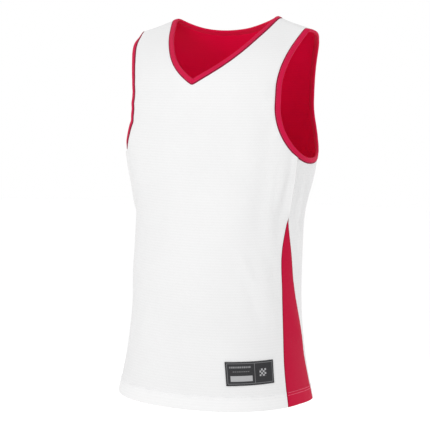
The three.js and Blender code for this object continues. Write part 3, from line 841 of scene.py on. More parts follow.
def panel_surface(net, is_front):
    """The outer face of a panel: the cloth, plus its relief at the seams and the hem."""
    points, normals = cloth(net["angle"], net["rise"])
    lines = net_lines(net)
    height = np.zeros(len(points))
    above_hem = net["rise"] * (CHEST_LEVEL + LENGTH)
    height += hem_relief(above_hem) + hem_waves(np.radians(net["angle"]) * FOLD_RADIUS, above_hem)
    seam_distance, roll = np.full(len(points), FAR), np.ones(len(points))
    for kind in ("sides", "armholes", "shoulders", "neck"):
        for line in ([lines[kind]] if kind == "neck" else lines[kind]):
            distance, along = near_line(points, points[line])
            seam_distance = np.minimum(seam_distance, distance)
            height += pucker(distance, along, SIDE_PUCKER if kind == "sides" else CURVE_PUCKER)
            if kind == "sides":
                upper = smoothstep(WEDGE_TOP_RISE - 0.03, WEDGE_TOP_RISE + 0.03, net["rise"])
                slope = np.clip(1 - distance / SIDE_RIDGE[1][is_front], 0, 1)
                height += SIDE_RIDGE[0] * upper * slope ** 1.2
                roll -= 0.7 * upper * np.exp(-(distance / 6) ** 2)
    height -= SEAM_ROLL[0] * roll * np.exp(-(seam_distance / SEAM_ROLL[1]) ** 2)
    return points + normals * height[:, None], normals, seam_distance, above_hem


print("hem:", HEM_DEPTH, "mm, needle rows at", NEEDLE_ROWS)

# %% [markdown]
# The outer panels are the white knit. Each is one sheet, 1 mm thick, that ends a hair short of its
# seams. The texture coordinates are true lengths across and up the form, so that the knit keeps
# its scale and runs straight up to the neck and over the shoulders.

# %% Outer panels
PANEL_WALL = 1.0
TABLE_ANGLES = 441
TABLE_RISES = 401
TABLE_HALF = 110  # degrees to each side of the centre line


def lengths(angle, rise, is_front):
    """Length across from the centre line at the same rise, and length up from the hem at the same
    angle. Both are summed over a fine table of the form, and looked up between its places."""
    start = -TABLE_HALF if is_front else 180 - TABLE_HALF
    angles = start + np.linspace(0, 2 * TABLE_HALF, TABLE_ANGLES)
    grid = form(angles[None, :], np.linspace(0, 2, TABLE_RISES)[:, None])
    across = np.cumsum(np.linalg.norm(np.diff(grid, axis=1, prepend=grid[:, :1]), axis=2), axis=1)
    across -= across[:, TABLE_ANGLES // 2][:, None]
    up = np.cumsum(np.linalg.norm(np.diff(grid, axis=0, prepend=grid[:1]), axis=2), axis=0)
    column = np.clip((angle - start) / (2 * TABLE_HALF) * (TABLE_ANGLES - 1), 0, TABLE_ANGLES - 1.001)
    row = np.clip(rise / 2 * (TABLE_RISES - 1), 0, TABLE_RISES - 1.001)
    i, j = column.astype(int), row.astype(int)
    s, t = column - i, row - j
    return np.stack([lerp(lerp(table[j, i], table[j, i + 1], s),
                          lerp(table[j + 1, i], table[j + 1, i + 1], s), t)
                     for table in (across, up)], axis=-1)


def make_panel(name, net, is_front):
    points, normals, seam_distance, above_hem = panel_surface(net, is_front)
    faces = net_faces(net)
    uv = lengths(net["angle"], net["rise"], is_front)
    points = set_back(points, normals, faces, SEAM_GAP / 2)
    doubled = 1 - smoothstep(NEEDLE_ROWS[1] - 1, NEEDLE_ROWS[1] + 1, above_hem)
    # The edge value is the mask of painted seam shade, strongest at the seam.
    piece = make_cloth(name, "_cloth", (points, normals, faces), (0, PANEL_WALL), SEAM_GAP / 3, uv,
                       {"doubled": doubled, "edge": np.exp(-(seam_distance / 1.2) ** 2)})
    return piece, points


front_panel, front_points = make_panel("front_panel", front_net, True)
back_panel, back_points = make_panel("back_panel", back_net, False)

# %% [markdown]
# The linings are the red inside of the jersey. They hang 2.4 mm behind the panels, so they show
# through the neck and the armholes, and at the hem from below. They have the same folds, and a
# turned hem of their own.

# %% Linings
LINING_DEPTH = (2.4, 3.4)
LINING_SET_BACK = 0.2
LINING_HEM = 0.4  # how much thicker the lining is at its turned hem
ALLOWANCE = (0.9, 3.6)  # height and reach of the seam allowance inside


def make_lining(name, is_front):
    net = panel_net(is_front, True, LINING_CELL)
    points, normals = cloth(net["angle"], net["rise"])
    above_hem = net["rise"] * (CHEST_LEVEL + LENGTH) - LINING_RISE
    inward = LINING_HEM * (1 - smoothstep(HEM_DEPTH - 1, HEM_DEPTH + 1.5, above_hem))
    for line in net_lines(net)["sides"]:
        distance, along = near_line(points, points[line])
        inward += (ALLOWANCE[0] * np.exp(-(distance / ALLOWANCE[1]) ** 2)
                   + pucker(distance, along, LINING_PUCKER))
    faces = net_faces(net)
    uv = lengths(net["angle"], net["rise"], is_front)
    points = set_back(points, normals, faces, LINING_SET_BACK)
    return make_cloth(name, "_cloth", (points, normals, faces), LINING_DEPTH, RIM_BULGE, uv,
                      {"doubled": 1 - smoothstep(HEM_DEPTH - 1, HEM_DEPTH + 1, above_hem),
                       "edge": np.zeros(len(points))}, inward)


lining_front = make_lining("lining_front", True)
lining_back = make_lining("lining_back", False)

# %% [markdown]
# A red wedge is let into each side seam. It starts as a point below the underarm and widens to the
# hem. Its net is a plain one: across from the front edge to the back edge, and up to the point.

# %% Side inserts
INSERT_ROWS = 112
INSERT_COLUMNS = 28
INSERT_TIP = 0.008  # the wedge stops this part of its height short of the seam's end


def make_insert(name, side):
    up = np.concatenate([[0, 0.002, 0.006], steps(INSERT_ROWS)[2:-1], [1 - INSERT_TIP]])
    rise = (up * WEDGE_TOP_RISE)[:, None]
    fore, aft = seam_angle(rise, FORWARD), seam_angle(rise, BACKWARD)
    across = np.concatenate([[0, 0.01], steps(INSERT_COLUMNS)[1:-1], [0.99, 1]])
    across = across if side > 0 else across[::-1]
    angle = side * lerp(fore, aft, across)
    rise = np.broadcast_to(rise, angle.shape)
    index = np.arange(angle.size).reshape(angle.shape)
    points, normals = (v.reshape(-1, 3) for v in cloth(angle, rise))
    above_hem = rise.ravel() * (CHEST_LEVEL + LENGTH)
    height = hem_relief(above_hem) + hem_waves(np.radians(angle).ravel() * FOLD_RADIUS, above_hem)
    seam_distance = np.full(len(points), FAR)
    for line in (index[:, 0], index[:, -1]):
        distance, along = near_line(points, points[line])
        seam_distance = np.minimum(seam_distance, distance)
        height += pucker(distance, along, SIDE_PUCKER)
    height -= SEAM_ROLL[0] * np.exp(-(seam_distance / SEAM_ROLL[1]) ** 2)
    points = points + normals * height[:, None]
    faces = quads(index)
    uv = np.stack([arc_lengths(points, index).ravel(), above_hem], axis=1)
    points = set_back(points, normals, faces, SEAM_GAP / 2)
    # The edge value is the mask of painted seam shade along the wedge's two seams.
    return make_cloth(name, "_cloth", (points, normals, faces), (0, PANEL_WALL), SEAM_GAP / 3, uv,
                      {"doubled": 1 - smoothstep(HEM_DEPTH, HEM_DEPTH + 3, above_hem),
                       "edge": np.exp(-(seam_distance / 0.9) ** 2)})


insert_left = make_insert("side_insert_left", 1)
insert_right = make_insert("side_insert_right", -1)

# %% [markdown]
# The bands are strips of knit folded over the raw edges of both layers. In section a band is a
# flattened loop, which is carried round the opening: a superellipse, with a furrow where it is
# topstitched. At the point of the V the strip is mitred, which shows as a short upright seam.

# %% Bands
BAND = 9
BAND_TOP = 0.65
BAND_FOOT = -3.75
BAND_SQUARENESS = 3.4
BAND_POINTS = 48
BAND_SLIT = 0.11  # half turn left open at the seam, where the strip's edges are tucked in
BAND_OVERLAP = 0.5  # the strip lies this far over the cloth beyond the seam
BAND_WALL = 0.7
BAND_STITCH = 2.3  # distance of the topstitching from the seam
LEAN_LEVELS = (-42, -16)  # between which the right armhole's band comes to lean over the shoulder
RIGHT_LEAN = 44
MITRE_WIDTH = 0.9
MITRE_DEPTH = 0.5
MITRE_REACH, MITRE_STEP = 9, 0.5  # the ring's places are this close this near the mitre
MITRE_PLACES = 22  # rings to each side of the mitre that must not cross the centre line
BAND_EASE = 0.14  # height of the strip's slow unevenness


def neck_ring():
    """Round the neck, counter-clockwise from above: the front from right to left, then the back.
    The places are closer together at the mitre."""
    even = neck_halves(True, round(SIDE_LENGTHS[True]["neck"] / PANEL_CELL))
    halves = np.union1d(even, np.arange(0, MITRE_REACH, MITRE_STEP))
    front_angle, front_rise = angle_of_half(halves), neck_rise(halves, True)
    back = net_lines(back_net)["neck"]
    angle = np.concatenate([both_sides(front_angle, -1), back_net["angle"][back][1:-1]])
    rise = np.concatenate([both_sides(front_rise, 1), back_net["rise"][back][1:-1]])
    return angle, rise, len(halves) - 1


def armhole_ring(side):
    """Round an armhole: down the front from the shoulder, under the arm and up the back."""
    front = net_lines(front_net)["armholes"][1 if side > 0 else 0][::-1]
    back = net_lines(back_net)["armholes"][0 if side > 0 else 1]
    angle = np.concatenate([front_net["angle"][front], back_net["angle"][back][1:-1]])
    rise = np.concatenate([front_net["rise"][front], back_net["rise"][back][1:-1]])
    return (angle, rise) if side > 0 else (angle[::-1], rise[::-1])


def band_section():
    """Distance into the opening and height above the cloth: a superellipse round the fold."""
    turn = np.linspace(BAND_SLIT - pi, pi - BAND_SLIT, BAND_POINTS)
    half, tall = (BAND + BAND_OVERLAP) / 2, (BAND_TOP - BAND_FOOT) / 2
    reach = half - BAND_OVERLAP + half * signed_power(np.cos(turn), 2 / BAND_SQUARENESS)
    height = (BAND_TOP + BAND_FOOT) / 2 + tall * signed_power(np.sin(turn), 2 / BAND_SQUARENESS)
    furrow = 0.25 * np.exp(-((reach - BAND_STITCH) / 0.6) ** 2)
    return reach, np.where(height > -1, height - furrow, height + furrow)


def ring_frame(angle, rise, lean=0):
    """Points of the seam, the way into the opening, the way out of the cloth, and the length. The
    two ways are turned by the lean, in degrees, where the ring goes over the shoulder."""
    points, normals = cloth(angle, rise)
    run = unit(np.roll(points, -1, axis=0) - np.roll(points, 1, axis=0))
    into = unit(np.cross(normals, run))
    turn = np.radians(lean * smoothstep(*LEAN_LEVELS, points[:, 2]))[:, None]
    into, normals = (into * np.cos(turn) - normals * np.sin(turn),
                     normals * np.cos(turn) + into * np.sin(turn))
    step = np.linalg.norm(np.roll(points, -1, axis=0) - points, axis=1)
    along = np.concatenate([[0], np.cumsum(step)[:-1]])
    return points, into, normals, along, float(step.sum())


def make_band(name, ring, mitre_at=None, lean=0):
    """Seam point + reach times the way in + height times the way out, for each section point."""
    points, into, normals, along, length = ring_frame(*ring, lean)
    reach, height = band_section()
    ease = BAND_EASE * np.sin(along / 5.3 + np.sin(along / 29)) * np.sin(along / 13.1)
    tall = height[None, :] + ease[:, None] * (height[None, :] > 0)
    if mitre_at is not None:
        gap = np.abs((along - along[mitre_at] + length / 2) % length - length / 2)
        seam = np.exp(-(gap / MITRE_WIDTH) ** 2) * 1.3 - 0.7 * np.exp(-((gap - 2.4) / 1.2) ** 2)
        tall = tall - MITRE_DEPTH * seam[:, None] * np.sign(height + 1.5)[None, :]
    grid = points[:, None] + into[:, None] * reach[None, :, None] + normals[:, None] * tall[..., None]
    count, across = grid.shape[:2]
    if mitre_at is not None:
        near = np.arange(max(mitre_at - MITRE_PLACES, 0), mitre_at + MITRE_PLACES + 1)
        side = np.sign(near - mitre_at)[:, None]
        grid[near, :, 0] = np.where(side == 0, 0, side * np.maximum(side * grid[near, :, 0], 0))
    index = np.arange(count * across).reshape(count, across)
    faces = quads(np.pad(index, ((0, 1), (0, 0)), mode="wrap"))
    rise, run = np.gradient(height), np.gradient(reach)
    out = unit(into[:, None] * rise[None, :, None] - normals[:, None] * run[None, :, None])
    walk = np.cumsum(np.hypot(np.diff(reach, prepend=reach[0]), np.diff(height, prepend=height[0])))
    uv = np.stack(np.broadcast_arrays(along[:, None], walk[None, :]), axis=-1).reshape(-1, 2)
    # Painted shade: the band's outer face is darkened near its seam, where the groove into the cloth
    # lies.
    dark = np.exp(-(np.maximum(reach + BAND_OVERLAP - 1.4, 0) / 0.8) ** 2)
    dark = dark * smoothstep(-2.6, -1.2, height)
    net = grid.reshape(-1, 3), out.reshape(-1, 3), faces
    piece = make_cloth(name, "_strip", net, (0, BAND_WALL), RIM_BULGE, uv,
                       {"edge": np.tile(dark, count),
                        "inner": np.tile(1 - smoothstep(-3.4, -1.4, height), count)})
    return piece, length, float(walk[-1])


*neck, neck_middle = neck_ring()
neck_band, neck_length, strip_width = make_band("neck_binding", neck, neck_middle)
armhole_left, armhole_length, _ = make_band("armhole_binding_left", armhole_ring(1))
armhole_right, _, _ = make_band("armhole_binding_right", armhole_ring(-1), lean=RIGHT_LEAN)
print("seam lengths: neck", round(neck_length), "mm, armhole", round(armhole_length), "mm")

# %% [markdown]
# Stitches are short rounded threads that lie in their furrow. One small closed shape is worked out
# once, and an array of places, directions and normals copies it along each line. Thread is what
# makes a hem read as sewn from close by, and a bump can't stand up from the cloth like it.

# %% Stitches
STITCH_PITCH = 2.9
STITCH_LENGTH = 2.3
STITCH_WIDTH = 0.34  # radius across the thread
STITCH_RINGS = 5
STITCH_SIDES = 6
STITCH_ARCH = 0.22
HEM_SAMPLES = 400


def stitch_shape():
    """A spindle: rings whose radius is the root of 1 minus the fourth power of the way along."""
    way = np.linspace(-0.97, 0.97, STITCH_RINGS)
    turn = np.linspace(0, 2 * pi, STITCH_SIDES, endpoint=False)
    radius = STITCH_WIDTH * np.sqrt(1 - way ** 4)
    arch = STITCH_ARCH * (1 - way ** 2)
    along = np.repeat(way * STITCH_LENGTH / 2, STITCH_SIDES)
    across = (radius[:, None] * np.cos(turn)).ravel()
    height = (radius[:, None] * np.sin(turn) + arch[:, None]).ravel()
    index = np.arange(STITCH_RINGS * STITCH_SIDES).reshape(STITCH_RINGS, STITCH_SIDES)
    sides = quads(np.pad(index, ((0, 0), (0, 1)), mode="wrap"))
    first, last = index[0], index[-1]
    caps = [first[[0, 3, 2, 1]], first[[0, 5, 4, 3]], last[[0, 1, 2, 3]], last[[0, 3, 4, 5]]]
    return np.stack([along, across, height], axis=1), np.concatenate([sides, np.array(caps)])


def stitch_places(line, normals, closed):
    """Even places along a line of points, with the direction and the way out at each."""
    if closed:
        line, normals = np.vstack([line, line[:1]]), np.vstack([normals, normals[:1]])
    walked = np.concatenate([[0], np.cumsum(np.linalg.norm(np.diff(line, axis=0), axis=1))])
    at = np.arange(STITCH_PITCH / 2, walked[-1], STITCH_PITCH)

    def pick(values, where):
        return np.stack([np.interp(where, walked, values[:, k]) for k in range(3)], axis=1)

    run = unit(pick(line, np.minimum(at + 1, walked[-1])) - pick(line, np.maximum(at - 1, 0)))
    return pick(line, at), run, unit(pick(normals, at))


def make_stitches(name, lines):
    """Place + along times direction + across times side + height times the way out."""
    shape, shape_faces = stitch_shape()
    places, runs, normals = (np.concatenate(v) for v in zip(*lines))
    across = unit(np.cross(normals, runs))
    points = (places[:, None] + shape[None, :, :1] * runs[:, None]
              + shape[None, :, 1:2] * across[:, None] + shape[None, :, 2:] * normals[:, None])
    faces = shape_faces[None] + (np.arange(len(places)) * len(shape))[:, None, None]
    return make_piece(name, points.reshape(-1, 3), faces.reshape(-1, 4))


EDGE_STAY = 0.6  # degrees that the stitches keep clear of the side seams
HEM_STITCHING = {  # where the needle rows start and end: a turn, a side and an edge of the wedge
    "front_hem_stitching": ((0, -1, FORWARD), (0, 1, FORWARD)),
    "back_hem_stitching": ((0, 1, BACKWARD), (360, -1, BACKWARD)),
    "left_insert_stitching": ((0, 1, FORWARD), (0, 1, BACKWARD)),
    "right_insert_stitching": ((0, -1, BACKWARD), (0, -1, FORWARD)),
}


def hem_lines(ends):
    """The two needle rows between two edges of the side seams, on the outer face of the hem. An
    end's angle is its turn plus its side times the seam's angle."""
    lines = []
    for row in NEEDLE_ROWS:
        rise = np.array(row / (CHEST_LEVEL + LENGTH))
        low, high = (turn + side * float(seam_angle(rise, edge)) for turn, side, edge in ends)
        angle = np.linspace(low + EDGE_STAY, high - EDGE_STAY, HEM_SAMPLES)
        points, normals = cloth(angle, np.full(HEM_SAMPLES, float(rise)))
        lines.append(stitch_places(points + normals * hem_relief(np.array(row)), normals, False))
    return lines


front_stitches, back_stitches, left_stitches, right_stitches = (
    make_stitches(name, hem_lines(ends)) for name, ends in HEM_STITCHING.items())


def band_stitches(name, ring, lean=0):
    """Topstitching on the outer face of a band, a little way in from its seam."""
    points, into, normals, _, _ = ring_frame(*ring, lean)
    line = points + into * BAND_STITCH + normals * (BAND_TOP - 0.2)
    return make_stitches(name, [stitch_places(line, normals, True)])


neck_stitches = band_stitches("neck_topstitching", neck)
armhole_left_stitches = band_stitches("left_armhole_topstitching", armhole_ring(1))
armhole_right_stitches = band_stitches("right_armhole_topstitching", armhole_ring(-1), RIGHT_LEAN)

# %% [markdown]
# The label is woven, dark grey, and sewn flat near the hem. It carries no words: a border line, a
# divider, two dashed lines, a light bar to write on, and a small woven block. Its pattern is
# a value on a fine grid, which lifts the threads a little and gives the material its two greys.

# %% Woven label
LABEL_ANGLE, LABEL_LEVEL = 47.4, -562
LABEL_WIDTH, LABEL_HEIGHT = 78, 36
LABEL_RADIUS, LABEL_FLARE = 127, 0.17  # of the cloth at mid height, and its growth per mm down
LABEL_LEAN = 0.075  # how far the label leans sideways, per mm down
LABEL_BASE, LABEL_TOP = 0.75, 1.45  # heights above the cloth, under and on the label
LABEL_CELL = 0.42
LABEL_BULGE = 0.15
BORDER_INSET, BORDER_LINE = 2.4, 0.55
DIVIDER = 0.57  # part of the width
LINE_LIGHT, BAR_LIGHT, DASH_LIGHTS, BLOCK_LIGHT = 0.42, 0.92, (0.5, 0.32), 0.8
HATCH_PITCH, DASH_PITCH = 1.4, 2.8
THREAD_RISE = 0.12  # how far light thread stands up from dark
BAR = (7.0, 40.6, 6.2, 14.6)  # left, right, low and high edges of the light bar
WOVEN_LINES = [(6.0, 38.5, 26.4, 29.0), (10.0, 36.5, 20.4, 21.6)]
BLOCK = (52.5, 63.9, 12.6, 24.0)
BLOCK_CELLS = 4  # to a side; three would light an X, which reads as a letter


def in_box(x, z, box, soft=0.22):
    """1 inside a box and 0 outside, with soft edges."""
    left, right, low, high = box
    return (smoothstep(left - soft, left + soft, x) * (1 - smoothstep(right - soft, right + soft, x))
            * smoothstep(low - soft, low + soft, z) * (1 - smoothstep(high - soft, high + soft, z)))


def label_pattern(x, z):
    """How light the thread is at a place on the label, from 0 to 1."""
    outer = (BORDER_INSET, LABEL_WIDTH - BORDER_INSET, BORDER_INSET, LABEL_HEIGHT - BORDER_INSET)
    inner = (outer[0] + BORDER_LINE, outer[1] - BORDER_LINE, outer[2] + BORDER_LINE,
             outer[3] - BORDER_LINE)
    divider_x = DIVIDER * LABEL_WIDTH
    thread = LINE_LIGHT * np.clip(in_box(x, z, outer) - in_box(x, z, inner), 0, 1)
    divider = (divider_x, divider_x + BORDER_LINE, inner[2], inner[3])
    thread = np.maximum(thread, LINE_LIGHT * in_box(x, z, divider))
    hatch = 0.86 + 0.14 * np.cos(2 * pi * z / HATCH_PITCH)
    thread = np.maximum(thread, BAR_LIGHT * in_box(x, z, BAR) * hatch)
    dash = 0.65 + 0.35 * np.sign(np.sin(2 * pi * x / DASH_PITCH))
    for box, light in zip(WOVEN_LINES, DASH_LIGHTS):
        thread = np.maximum(thread, light * in_box(x, z, box) * dash)
    size = (BLOCK[1] - BLOCK[0]) / BLOCK_CELLS
    odd = (np.floor((x - BLOCK[0]) / size) + np.floor((z - BLOCK[2]) / size)) % 2
    return np.maximum(thread, BLOCK_LIGHT * in_box(x, z, BLOCK) * (1 - odd))


def label_place(x, z):
    """A point of the label's own plane carried to the cloth: the angle is the way sideways over
    the cloth's radius there. Gives the point under it, the way out, and the height of the folds."""
    down = LABEL_HEIGHT / 2 - z
    sideways = (x - LABEL_WIDTH / 2 + LABEL_LEAN * down) / (LABEL_RADIUS + LABEL_FLARE * down)
    angle = LABEL_ANGLE + np.degrees(sideways)
    dip = HEM_FRONT_DIP * (cos(radians(LABEL_ANGLE)) - np.cos(np.radians(angle)))
    rise = rise_of_level(LABEL_LEVEL - down + dip)
    base = form(angle, rise)
    folds = fold_height(FOLDS, angle, base[..., 2]) + fold_height(CREASES, angle, base[..., 2])
    return base, outward(angle, rise), folds[..., None]


def make_label():
    x = np.linspace(0, LABEL_WIDTH, round(LABEL_WIDTH / LABEL_CELL) + 1)
    z = np.linspace(0, LABEL_HEIGHT, round(LABEL_HEIGHT / LABEL_CELL) + 1)
    x, z = np.meshgrid(x, z)
    base, normals, folds = label_place(x, z)
    points = base + normals * folds
    thread = label_pattern(x, z)
    edge = np.minimum(np.minimum(x, LABEL_WIDTH - x), np.minimum(z, LABEL_HEIGHT - z))
    swell = 0.25 * (1 - np.exp(-edge / 3)) - 0.25 * np.exp(-edge / 0.5)
    points = points + normals * (THREAD_RISE * thread + swell)[..., None]
    faces = quads(np.arange(x.size).reshape(x.shape))
    uv = np.stack([x.ravel(), z.ravel()], axis=1)
    return make_cloth("hem_label", "_weave", (points.reshape(-1, 3), normals.reshape(-1, 3), faces),
                      (-LABEL_TOP, -LABEL_BASE), LABEL_BULGE, uv, {"thread": thread.ravel()})


label = make_label()

# %% [markdown]
# The label is held by a row of small stitches just inside its edge, in a grey thread that is
# close to its own colour.

# %% Label stitches
LABEL_STITCH_INSET = 1.2
SIDE_SAMPLES = 60


def label_stitch_line():
    """A rectangle just inside the label's edge, carried onto the cloth like the label itself."""
    low = LABEL_STITCH_INSET
    right, top = LABEL_WIDTH - low, LABEL_HEIGHT - low
    way = np.linspace(0, 1, SIDE_SAMPLES, endpoint=False)
    still = np.ones(SIDE_SAMPLES)
    x = np.concatenate([lerp(low, right, way), right * still, lerp(right, low, way), low * still])
    z = np.concatenate([low * still, lerp(low, top, way), top * still, lerp(top, low, way)])
    base, normals, folds = label_place(x, z)
    return base + normals * (folds + LABEL_TOP - 0.05), normals


label_stitches = make_stitches("label_stitching", [stitch_places(*label_stitch_line(), True)])

# %% [markdown]
# Now the finishes. The white cloth is a mesh knit: rows of tiny eyelets, every other row shifted by
# half a step, with faint courses across. An image would do, but a formula stays sharp at any
# distance: the product of two cosines is high at just such places. Where the hem lies double the
# eyelets close, so it looks whiter. The same network, with other numbers, makes the red knits.

# %% Node helpers
def srgb(red, green, blue):
    """A colour of the photograph, from 0 to 255, as the light values that a shader takes."""
    value = np.array([red, green, blue]) / 255
    linear = np.where(value <= 0.04045, value / 12.92, ((value + 0.055) / 1.055) ** 2.4)
    return (*linear.tolist(), 1)


class Network:
    """A short way to add linked nodes to a material."""

    def __init__(self, name):
        self.material = bpy.data.materials.new(name)
        self.material.use_nodes = True
        self.tree = self.material.node_tree
        self.shader = self.tree.nodes["Principled BSDF"]

    def link(self, value, socket):
        if isinstance(value, bpy.types.NodeSocket):
            self.tree.links.new(value, socket)
        else:
            socket.default_value = value

    def math(self, operation, *values):
        node = self.tree.nodes.new("ShaderNodeMath")
        node.operation = operation
        for value, socket in zip(values, node.inputs):
            self.link(value, socket)
        return node.outputs[0]

    def ramp(self, value, low, high):
        """A soft step from 0 at the low value to 1 at the high one."""
        node = self.tree.nodes.new("ShaderNodeMapRange")
        node.interpolation_type = "SMOOTHSTEP"
        for number, given in enumerate((value, low, high, 0, 1)):
            self.link(given, node.inputs[number])
        return node.outputs[0]

    def attribute(self, name):
        node = self.tree.nodes.new("ShaderNodeAttribute")
        node.attribute_name = name
        return node.outputs["Fac"]

    def uv(self):
        node = self.tree.nodes.new("ShaderNodeUVMap")
        node.uv_map = "cloth"
        apart = self.tree.nodes.new("ShaderNodeSeparateXYZ")
        self.tree.links.new(node.outputs[0], apart.inputs[0])
        return apart.outputs[0], apart.outputs[1]

    def noise(self, scale, detail=3.0):
        place = self.tree.nodes.new("ShaderNodeTexCoord")
        node = self.tree.nodes.new("ShaderNodeTexNoise")
        self.tree.links.new(place.outputs["Object"], node.inputs["Vector"])
        node.inputs["Scale"].default_value = scale
        node.inputs["Detail"].default_value = detail
        return node.outputs["Fac"]

    def mix(self, way, low, high):
        node = self.tree.nodes.new("ShaderNodeMix")
        node.data_type = "RGBA"
        self.link(way, node.inputs[0])
        self.link(low, node.inputs[6])
        self.link(high, node.inputs[7])
        return node.outputs[2]

    def wave(self, length, pitch):
        """The cosine of a full turn for each pitch, given in metres along the cloth."""
        return self.math("COSINE", self.math("MULTIPLY", length, 2 * pi / pitch))

    def bump(self, height, strength, distance):
        node = self.tree.nodes.new("ShaderNodeBump")
        node.inputs["Strength"].default_value = strength
        node.inputs["Distance"].default_value = distance
        self.tree.links.new(height, node.inputs["Height"])
        self.tree.links.new(node.outputs[0], self.shader.inputs["Normal"])

    def paint(self, colour):
        self.link(colour, self.shader.inputs["Base Color"])

    def finish(self, roughness, sheen):
        self.shader.inputs["Roughness"].default_value = roughness
        self.shader.inputs["Sheen Weight"].default_value = sheen
        self.shader.inputs["Sheen Roughness"].default_value = 0.5
        self.shader.inputs["Specular IOR Level"].default_value = 0.1
        return self.material


print("node helpers ready")

# %% Knit cloth
EYELET_PITCH = (0.0026, 0.0022)  # across and up, over two rows
COURSE_PITCH = 0.0044
PATCH_SCALE, BAND_PATCH_SCALE, FUZZ_SCALE = 9.0, 40.0, 1500.0  # of the noises, per metre


def knit(name, colour, shade, painted_seam_shade, roughness, sheen, eyelet, course):
    """Eyelets where the product of two cosines is high. They darken the cloth towards its shade,
    courses and a slow noise vary it, and the edge value mixes in painted shade where the cloth
    rolls into a seam."""
    net = Network(name)
    across, up = net.uv()
    lattice = net.math("MULTIPLY", net.wave(across, EYELET_PITCH[0]), net.wave(up, EYELET_PITCH[1]))
    hole = net.ramp(lattice, 0.25, 0.85)
    open_cloth = net.math("SUBTRACT", 1.0, net.math("MULTIPLY", net.attribute("doubled"), 0.85))
    hole = net.math("MULTIPLY", hole, open_cloth)
    rows = net.ramp(net.wave(up, COURSE_PITCH), -1.0, 1.0)
    single = net.math("MULTIPLY", open_cloth, 0.1)
    patchy = net.ramp(net.noise(PATCH_SCALE), 0.3, 0.7)
    fuzz = net.noise(FUZZ_SCALE, 2.0)
    dark = net.math("ADD", net.math("MULTIPLY", hole, eyelet), net.math("MULTIPLY", rows, course))
    dark = net.math("ADD", dark, net.math("MULTIPLY", patchy, 0.06))
    dark = net.math("ADD", dark, single)
    body = net.mix(dark, colour, shade)
    # Painted shade: the edge value darkens the seam's groove towards the painted seam shade colour.
    net.paint(net.mix(net.math("MULTIPLY", net.attribute("edge"), 0.8), body, painted_seam_shade))
    height = net.math("SUBTRACT", net.math("MULTIPLY", fuzz, 0.35), hole)
    height = net.math("SUBTRACT", height, net.math("MULTIPLY", rows, 0.25))
    net.bump(height, 0.5, 0.0003)
    return net.finish(roughness, sheen)


WHITE = srgb(225, 225, 225)
WHITE_SHADE = srgb(190, 190, 191)
RED = srgb(184, 10, 54)
white_knit = knit("white_knit", WHITE, WHITE_SHADE, srgb(226, 225, 225), 0.85, 0.1, 0.42, 0.06)
# The lining's red is lighter than the wedges' red knit: painted light that lifts the shade inside the
# jersey.
lining_knit = knit("lining_knit", srgb(226, 0, 62), srgb(182, 0, 44), srgb(192, 0, 46), 0.9, 0.0,
                   0.4, 0.06)
# The third colour, a dark red, is painted shade in the wedges' seams.
red_knit = knit("red_knit", RED, srgb(150, 6, 40), srgb(96, 8, 32), 0.85, 0.03, 0.4, 0.05)

# %% [markdown]
# The bands are a finer rib knit, whose ribs run across the strip, with more sheen than the panels.
# The label is a dense weave with a diagonal line in it, and its value picks one of two threads.

# %% Bands, label and thread
RIB_PITCH = 0.0013
TWILL_PITCH = 0.0009


def rib_knit(name, colour, shade, painted_seam_shade, painted_light_inner_colour):
    """Ribs across the strip: a cosine along its length, darker and lower between two ribs. The
    inner value turns the strip's inner face to a red like the lining's, made lighter as painted
    light, and the edge value paints shade along the seam."""
    net = Network(name)
    along, _ = net.uv()
    rib = net.ramp(net.wave(along, RIB_PITCH), -1.0, 0.6)
    patchy = net.ramp(net.noise(BAND_PATCH_SCALE), 0.3, 0.7)
    dark = net.math("ADD", net.math("MULTIPLY", net.math("SUBTRACT", 1.0, rib), 0.45),
                    net.math("MULTIPLY", patchy, 0.12))
    # Painted light: the inner face is a lightened red, to lift the shade inside the openings.
    body = net.mix(net.attribute("inner"), net.mix(dark, colour, shade), painted_light_inner_colour)
    # Painted shade: the edge value darkens the band along its seam.
    net.paint(net.mix(net.math("MULTIPLY", net.attribute("edge"), 0.85), body, painted_seam_shade))
    net.bump(net.math("ADD", rib, net.math("MULTIPLY", net.noise(FUZZ_SCALE, 2.0), 0.3)), 0.35, 0.0002)
    return net.finish(0.75, 0.05)


def woven_label(name, dark, light):
    """A twill: a cosine along the diagonal lifts and lightens every other thread."""
    net = Network(name)
    across, up = net.uv()
    twill = net.ramp(net.wave(net.math("ADD", across, up), TWILL_PITCH), -1.0, 1.0)
    thread = net.attribute("thread")
    base = net.mix(thread, dark, light)
    net.paint(net.mix(net.math("MULTIPLY", twill, 0.08), base, srgb(150, 150, 152)))
    net.bump(net.math("ADD", twill, thread), 0.3, 0.00015)
    return net.finish(0.65, 0.0)


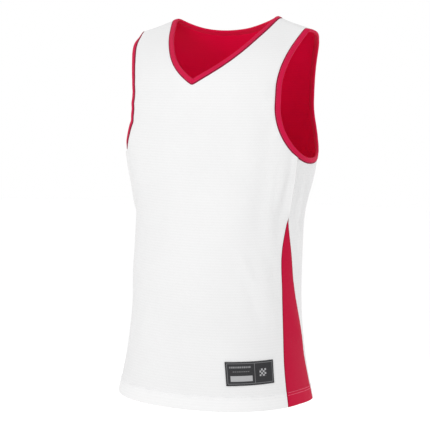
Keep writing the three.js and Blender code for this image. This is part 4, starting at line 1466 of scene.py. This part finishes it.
def sewing_thread(name, colour, shade):
    """Plain polyester thread with a little unevenness along it."""
    net = Network(name)
    net.paint(net.mix(net.ramp(net.noise(700.0), 0.35, 0.65), colour, shade))
    net.bump(net.noise(2600.0, 2.0), 0.3, 0.0001)
    return net.finish(0.5, 0.2)


# The dark red is painted seam shade; the last red, for the inner face, is lightened as painted light.
binding = rib_knit("binding", srgb(196, 18, 66), srgb(152, 8, 46), srgb(104, 6, 38),
                   srgb(202, 0, 54))
label_weave = woven_label("woven_label", srgb(40, 40, 42), srgb(180, 180, 182))
white_thread = sewing_thread("white_thread", srgb(236, 236, 238), srgb(216, 216, 218))
red_thread = sewing_thread("red_thread", srgb(214, 44, 88), srgb(180, 24, 62))
# The wedges' hem thread is pink, lighter than the wedge: a painted highlight for the light that the
# stitched rows catch.
pink_painted_highlight_thread = sewing_thread("pink_painted_highlight_thread", srgb(246, 132, 158), srgb(226, 104, 134))
grey_thread = sewing_thread("grey_thread", srgb(66, 66, 68), srgb(44, 44, 46))

FINISHES = [  # pieces, material, and the name of a record slot, which the loop doesn't read
    ([front_panel, back_panel], white_knit, "white_knit"),
    ([lining_front, lining_back], lining_knit, "lining_knit"),
    ([insert_left, insert_right], red_knit, "red_knit"),
    ([neck_band, armhole_left, armhole_right], binding, "binding"),
    ([label], label_weave, "woven_label"),
    ([front_stitches, back_stitches], white_thread, "white_knit"),
    ([left_stitches, right_stitches], pink_painted_highlight_thread, "red_knit"),
    ([neck_stitches, armhole_left_stitches, armhole_right_stitches], red_thread, "binding"),
    ([label_stitches], grey_thread, "woven_label"),
]
for pieces, material, slot in FINISHES:
    for piece in pieces:
        piece.data.materials.append(material)
print("finished", sum(len(pieces) for pieces, _, _ in FINISHES), "pieces")

# %% [markdown]
# The areas of the front and back panels are printed, because cloth hardly stretches: the area of
# the worn form has to agree with the flat pattern.

# %% Flat sizes
def cloth_area(points, net):
    """Square metres of a net, from the cross products of its cells' diagonals."""
    faces = net_faces(net)
    a, b, c, d = (points[faces[:, k]] for k in range(4))
    return float(np.linalg.norm(np.cross(c - a, d - b), axis=1).sum() / 2 * MM ** 2)


print("front", round(cloth_area(front_points, front_net), 4), "back",
      round(cloth_area(back_points, back_net), 4), "square metres")
